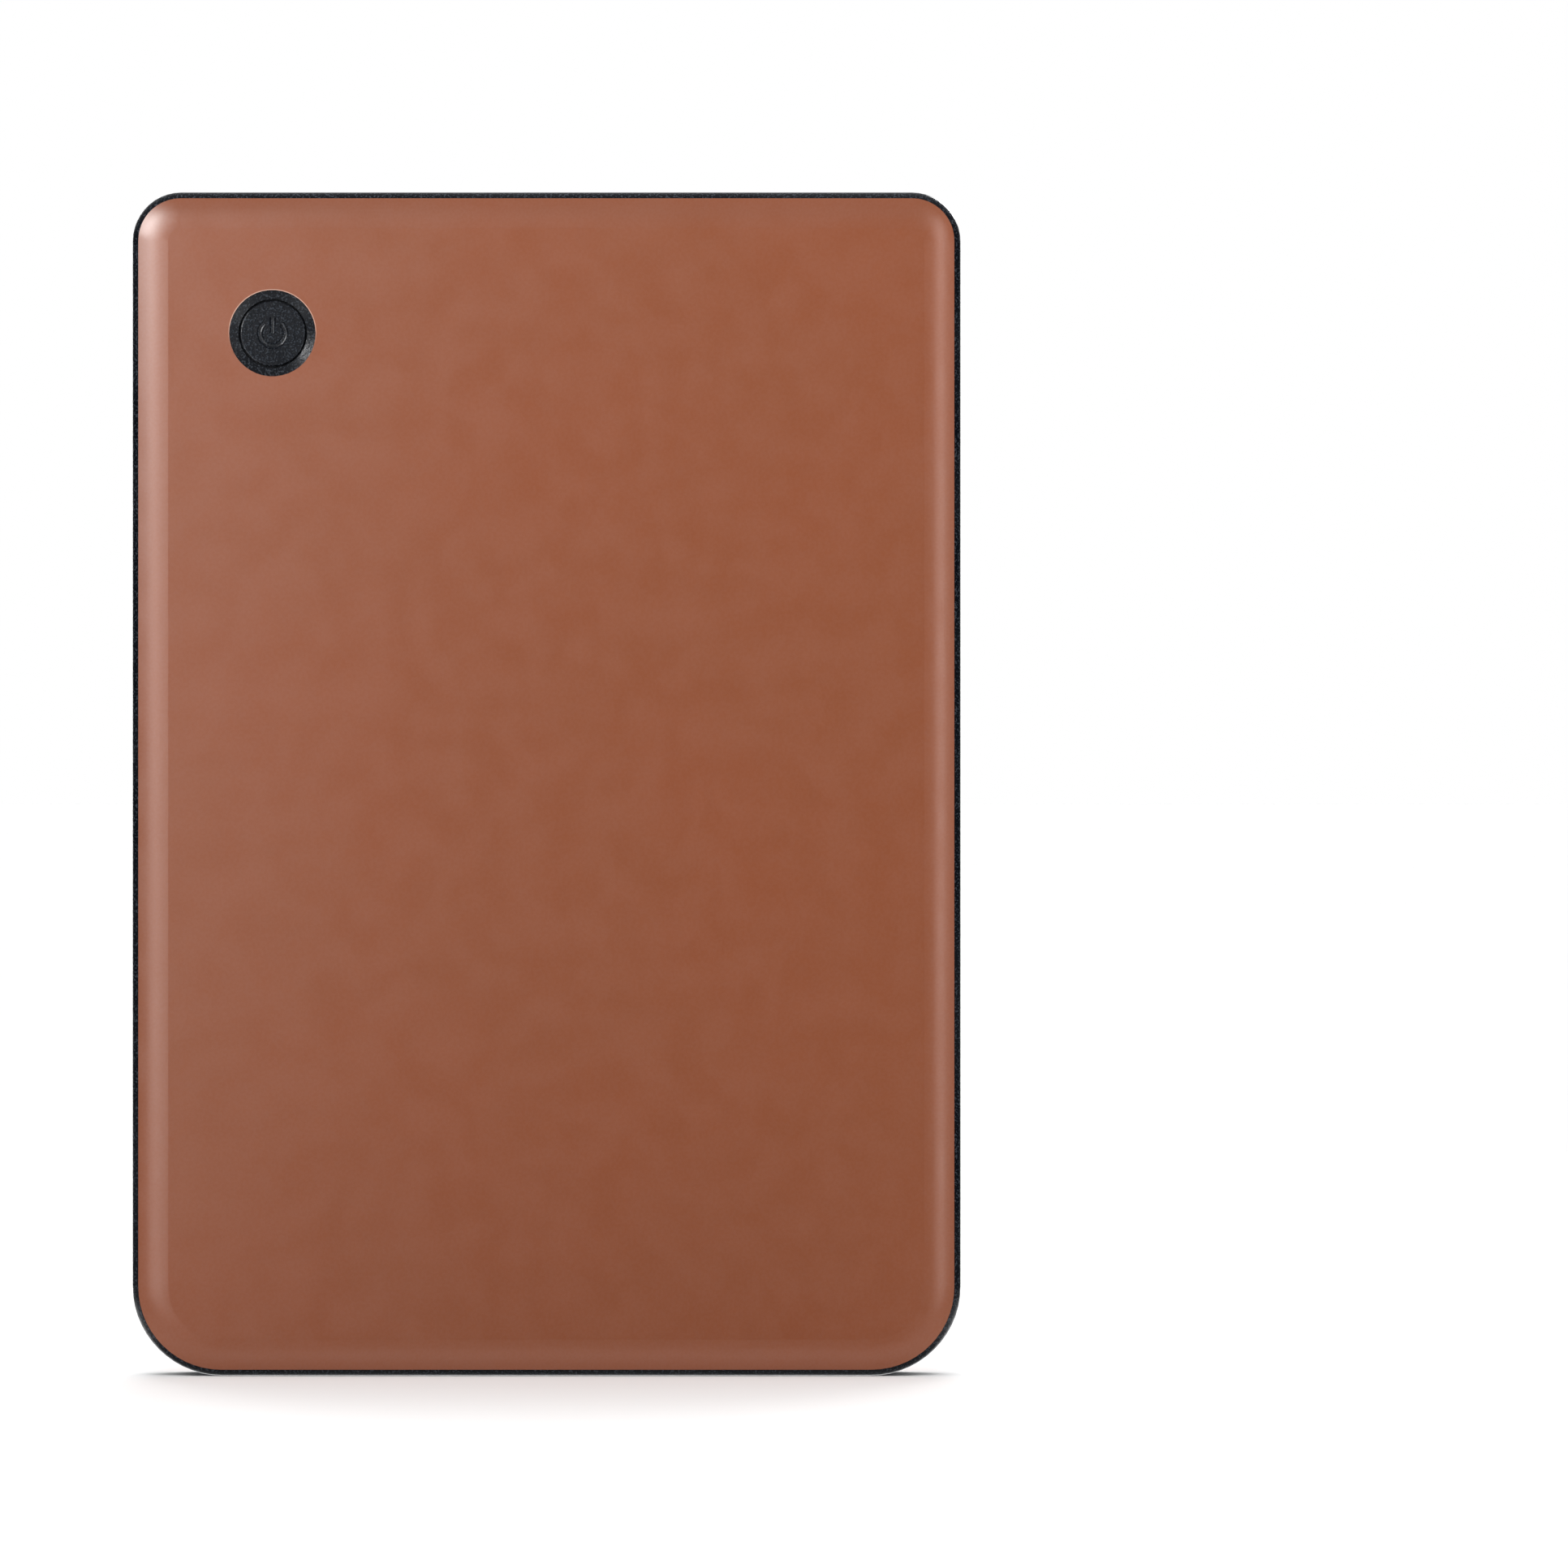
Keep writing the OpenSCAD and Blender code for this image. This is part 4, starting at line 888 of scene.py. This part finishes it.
def page_covers(title_ink):
    """The books on the page. Their art is invented and abstract."""
    art = {
        "tide": lambda c: art_brushwork(c, [NIGHT, TEAL, SKY, CREAM]),
        "moon": lambda c: art_moon(c, BARK, TEAL, SAND, RUST),
        "paper": lambda c: art_patches(c, [LEAF, SAND, NIGHT, PINK, TEAL, OCHRE, NIGHT, CREAM]),
        "reeds": lambda c: art_reeds(c, ROSE, SKY, NIGHT),
        "grove": lambda c: art_blossoms(c, TEAL, CREAM, LEAF, OCHRE),
        "field": lambda c: art_patches(c, [RUST, SAND, TEAL, OCHRE, CREAM, BARK]),
        "arch": lambda c: art_arch(c, RUST, OCHRE, TEAL, ROSE),
        "blossom": lambda c: art_blossoms(c, PINK, ROSE, LEAF, OCHRE),
        "brush": lambda c: art_brushwork(c, [TEAL, BARK, RUST, SAND]),
        "shore": lambda c: art_shore(c, CREAM, TEAL, SAND, BARK),
    }
    titles = {
        "tide": [(0.80, 0.62, 2.4), (0.16, 0.5, 1.2)],
        "moon": [(0.90, 0.7, 2.4), (0.76, 0.56, 2.4), (0.14, 0.6, 1.6)],
        "paper": [(0.86, 0.5, 2.3), (0.62, 0.82, 2.3), (0.26, 0.3, 1.9), (0.14, 0.84, 1.9)],
        "reeds": [(0.86, 0.5, 1.4), (0.74, 0.42, 1.4), (0.61, 0.84, 1.4), (0.48, 0.56, 1.4),
                  (0.22, 0.8, 1.6)],
        "grove": [(0.55, 0.7, 2.6), (0.15, 0.6, 1.6)],
        "field": [(0.74, 0.66, 1.5), (0.58, 0.5, 1.5)],
        "arch": [(0.84, 0.7, 1.5), (0.14, 0.6, 1.3)],
        "blossom": [(0.52, 0.88, 3.4), (0.16, 0.86, 1.7)],
        "brush": [(0.80, 0.4, 1.3), (0.62, 0.74, 1.3), (0.46, 0.2, 1.3), (0.31, 0.6, 1.3)],
        "shore": [(0.86, 0.7, 1.4), (0.72, 0.66, 1.4)],
    }
    places = []
    for name, x in zip(("tide", "moon", "paper", "reeds"), COVER_XS):
        places.append((name, x, COVER_LOW, COVER_WIDTH, COVER_HIGH - COVER_LOW))
    stacks = (("grove", "field", "arch"), ("blossom", "brush", "shore"))
    for x, names in zip(STACK_LEFT, stacks):
        for name, wide, top in zip(names, STACK_WIDTHS, STACK_HIGHS):
            places.append((name, x + wide / 2, STACK_LOW, wide, top - STACK_LOW))
            x += wide
    for name, *place in places:
        x, low, wide, high = place
        cover = Cover("cover_" + name, *place)
        sheet_piece("cover_" + name, [bar(x, low + high / 2, wide, high)], cover.done(art[name](cover)))
        sheet_piece("cover_" + name + "_title", title_bars(*place, titles[name]), title_ink, level=1)


def page():
    """What the screen shows."""
    ink = page_ink("page_ink", INK)
    page_icons(ink)
    page_rules(page_ink("page_rule", RULE_INK))
    page_text(ink, page_ink("page_ink_light", INK_LIGHT))
    page_covers(page_ink("title_ink", TITLE_INK))


# ---------------------------------------------------------------- studio

def camera():
    """Long lens behind the object. The picture's width is measured just inside the back."""
    data = bpy.data.cameras.new("camera")
    data.lens = LENS
    data.sensor_width = SENSOR
    made = bpy.data.objects.new("camera", data)
    away = PICTURE_WIDTH * LENS / SENSOR
    middle = (cad_low.x + cad_high.x) / 2
    made.location = (middle - CAMERA_RIGHT_OF_OBJECT, cad_high.y / 2 + away, CAMERA_HEIGHT)
    made.rotation_euler = (math.radians(90), 0, math.radians(180))
    bpy.context.scene.collection.objects.link(made)
    bpy.context.scene.camera = made


def softbox(name, at, aim, size, brightness, shine=True, fill=True):
    """Rectangular area light facing a point. Brightness is its radiance; it can be kept out of
    reflections (shine) or out of the diffuse light (fill)."""
    data = bpy.data.lights.new(name, "AREA")
    data.shape = "RECTANGLE"
    data.size, data.size_y = size
    data.energy = brightness * math.pi * size[0] * size[1]
    made = bpy.data.objects.new(name, data)
    made.location = at
    made.rotation_euler = (Vector(aim) - Vector(at)).to_track_quat("-Z", "Y").to_euler()
    made.visible_camera = False
    made.visible_glossy = shine
    made.visible_diffuse = fill
    bpy.context.scene.collection.objects.link(made)


def sun(name, elevation, turn, strength):
    """Broad soft sun over the back (turn 1) or the front (turn -1); it stays out of reflections."""
    data = bpy.data.lights.new(name, "SUN")
    data.angle = math.radians(SUN_WIDE)
    data.energy = strength
    made = bpy.data.objects.new(name, data)
    a = math.radians(elevation)
    made.rotation_euler = Vector((0, turn * math.cos(a), math.sin(a))).to_track_quat("Z", "Y").to_euler()
    made.visible_glossy = False
    bpy.context.scene.collection.objects.link(made)


def around(degrees, rise, turn):
    """Place so many degrees off the back's (or front's) axis, in the direction rise above level."""
    a, r = math.radians(degrees), math.radians(rise)
    return (turn * REACH * math.sin(a) * math.cos(r), turn * REACH * math.cos(a),
            height / 2 + REACH * math.sin(a) * math.sin(r))


def lights(side, turn, day, fill, shine, key, key_rise):
    """Studio lights for the back (turn 1) or the front (turn -1): a soft sun, a fill over the top
    edge, two tall boxes that draw the bright bands on the borders, and a small key box high up."""
    middle = (0, 0, height / 2)
    sun(f"sun_{side}", SUN_RISE, turn, day)
    softbox(f"top_{side}", (0, turn * 0.20, 0.26), (0, 0, 0.13), TOP_BOX, fill, shine=False)
    softbox(f"wide_{side}", around(24.5, 18, turn), middle, WIDE_BOX, shine, fill=False)
    softbox(f"narrow_{side}", around(-28, -16, turn), middle, NARROW_BOX, 1.25 * shine, fill=False)
    softbox(f"key_{side}", around(42, key_rise, turn), middle, KEY_BOX, key, fill=False)


def world():
    """White where the camera sees it. As light it is dim near the horizon and brighter overhead;
    its lower half only shows in reflections, as a bright table that fades straight down."""
    made = bpy.data.worlds.new("studio")
    bpy.context.scene.world = made
    made.use_nodes = True
    tree = made.node_tree
    tree.nodes.clear()

    def node(kind, *fed):
        """A node with its first inputs linked to other nodes' outputs."""
        new = tree.nodes.new(kind)
        for source, socket in zip(fed, new.inputs):
            tree.links.new(source, socket)
        return new

    def over_rise(begin, end, at_begin, at_end, smooth=True):
        """A brightness that changes as a direction's height goes from begin to end."""
        new = node("ShaderNodeMapRange", rise)
        new.interpolation_type = "SMOOTHSTEP" if smooth else "LINEAR"
        for name, number in (("From Min", begin), ("From Max", end),
                             ("To Min", at_begin), ("To Max", at_end)):
            new.inputs[name].default_value = number
        return new.outputs["Result"]

    direction = node("ShaderNodeTexCoord").outputs["Generated"]
    rise = node("ShaderNodeSeparateXYZ", direction).outputs["Z"]
    overhead = over_rise(0.0, 1.0, SKY_LOW, SKY_HIGH, smooth=False)
    glow = over_rise(*TABLE_DIPS, 0.0, TABLE_GLOW)
    left = over_rise(*UNDER_DIPS, 1.0, TABLE_UNDER)
    table = node("ShaderNodeMath", glow, left)
    table.operation = "MULTIPLY"
    both = node("ShaderNodeMath", overhead, table.outputs[0])
    lit, seen = node("ShaderNodeBackground"), node("ShaderNodeBackground")
    for background in (lit, seen):
        background.inputs["Color"].default_value = (*WHITE, 1)
    tree.links.new(both.outputs[0], lit.inputs["Strength"])
    by_camera = node("ShaderNodeLightPath").outputs["Is Camera Ray"]
    mixed = node("ShaderNodeMixShader", by_camera, lit.outputs[0], seen.outputs[0])
    node("ShaderNodeOutputWorld", mixed.outputs[0])


def floor():
    """Plain white floor that runs far past the picture. Reflections see the world's table instead."""
    far = FLOOR_REACH
    mesh = bpy.data.meshes.new("floor")
    mesh.from_pydata([(-far, -far, 0), (far, -far, 0), (far, far, 0), (-far, far, 0)], [], [(0, 1, 2, 3)])
    made = bpy.data.objects.new("floor", mesh)
    bpy.context.scene.collection.objects.link(made)
    s = Shader("floor")
    clouds = s.fit(s.noise(3, 2.0), 0.3, 0.7)
    s.set(base_color=s.mix(clouds, (0.94, 0.94, 0.94), (0.96, 0.96, 0.96)), roughness=0.9)
    s.specular(0.1)
    mesh.materials.append(s.material)
    made.visible_glossy = False


bpy.context.scene.view_settings.view_transform = "Standard"
camera()
world()
floor()
lights("back", 1, day=0.2, fill=3.3, shine=8.4, key=50.0, key_rise=34)
lights("front", -1, day=1.0, fill=2.5, shine=3.4, key=18.0, key_rise=50)
dress()
page()
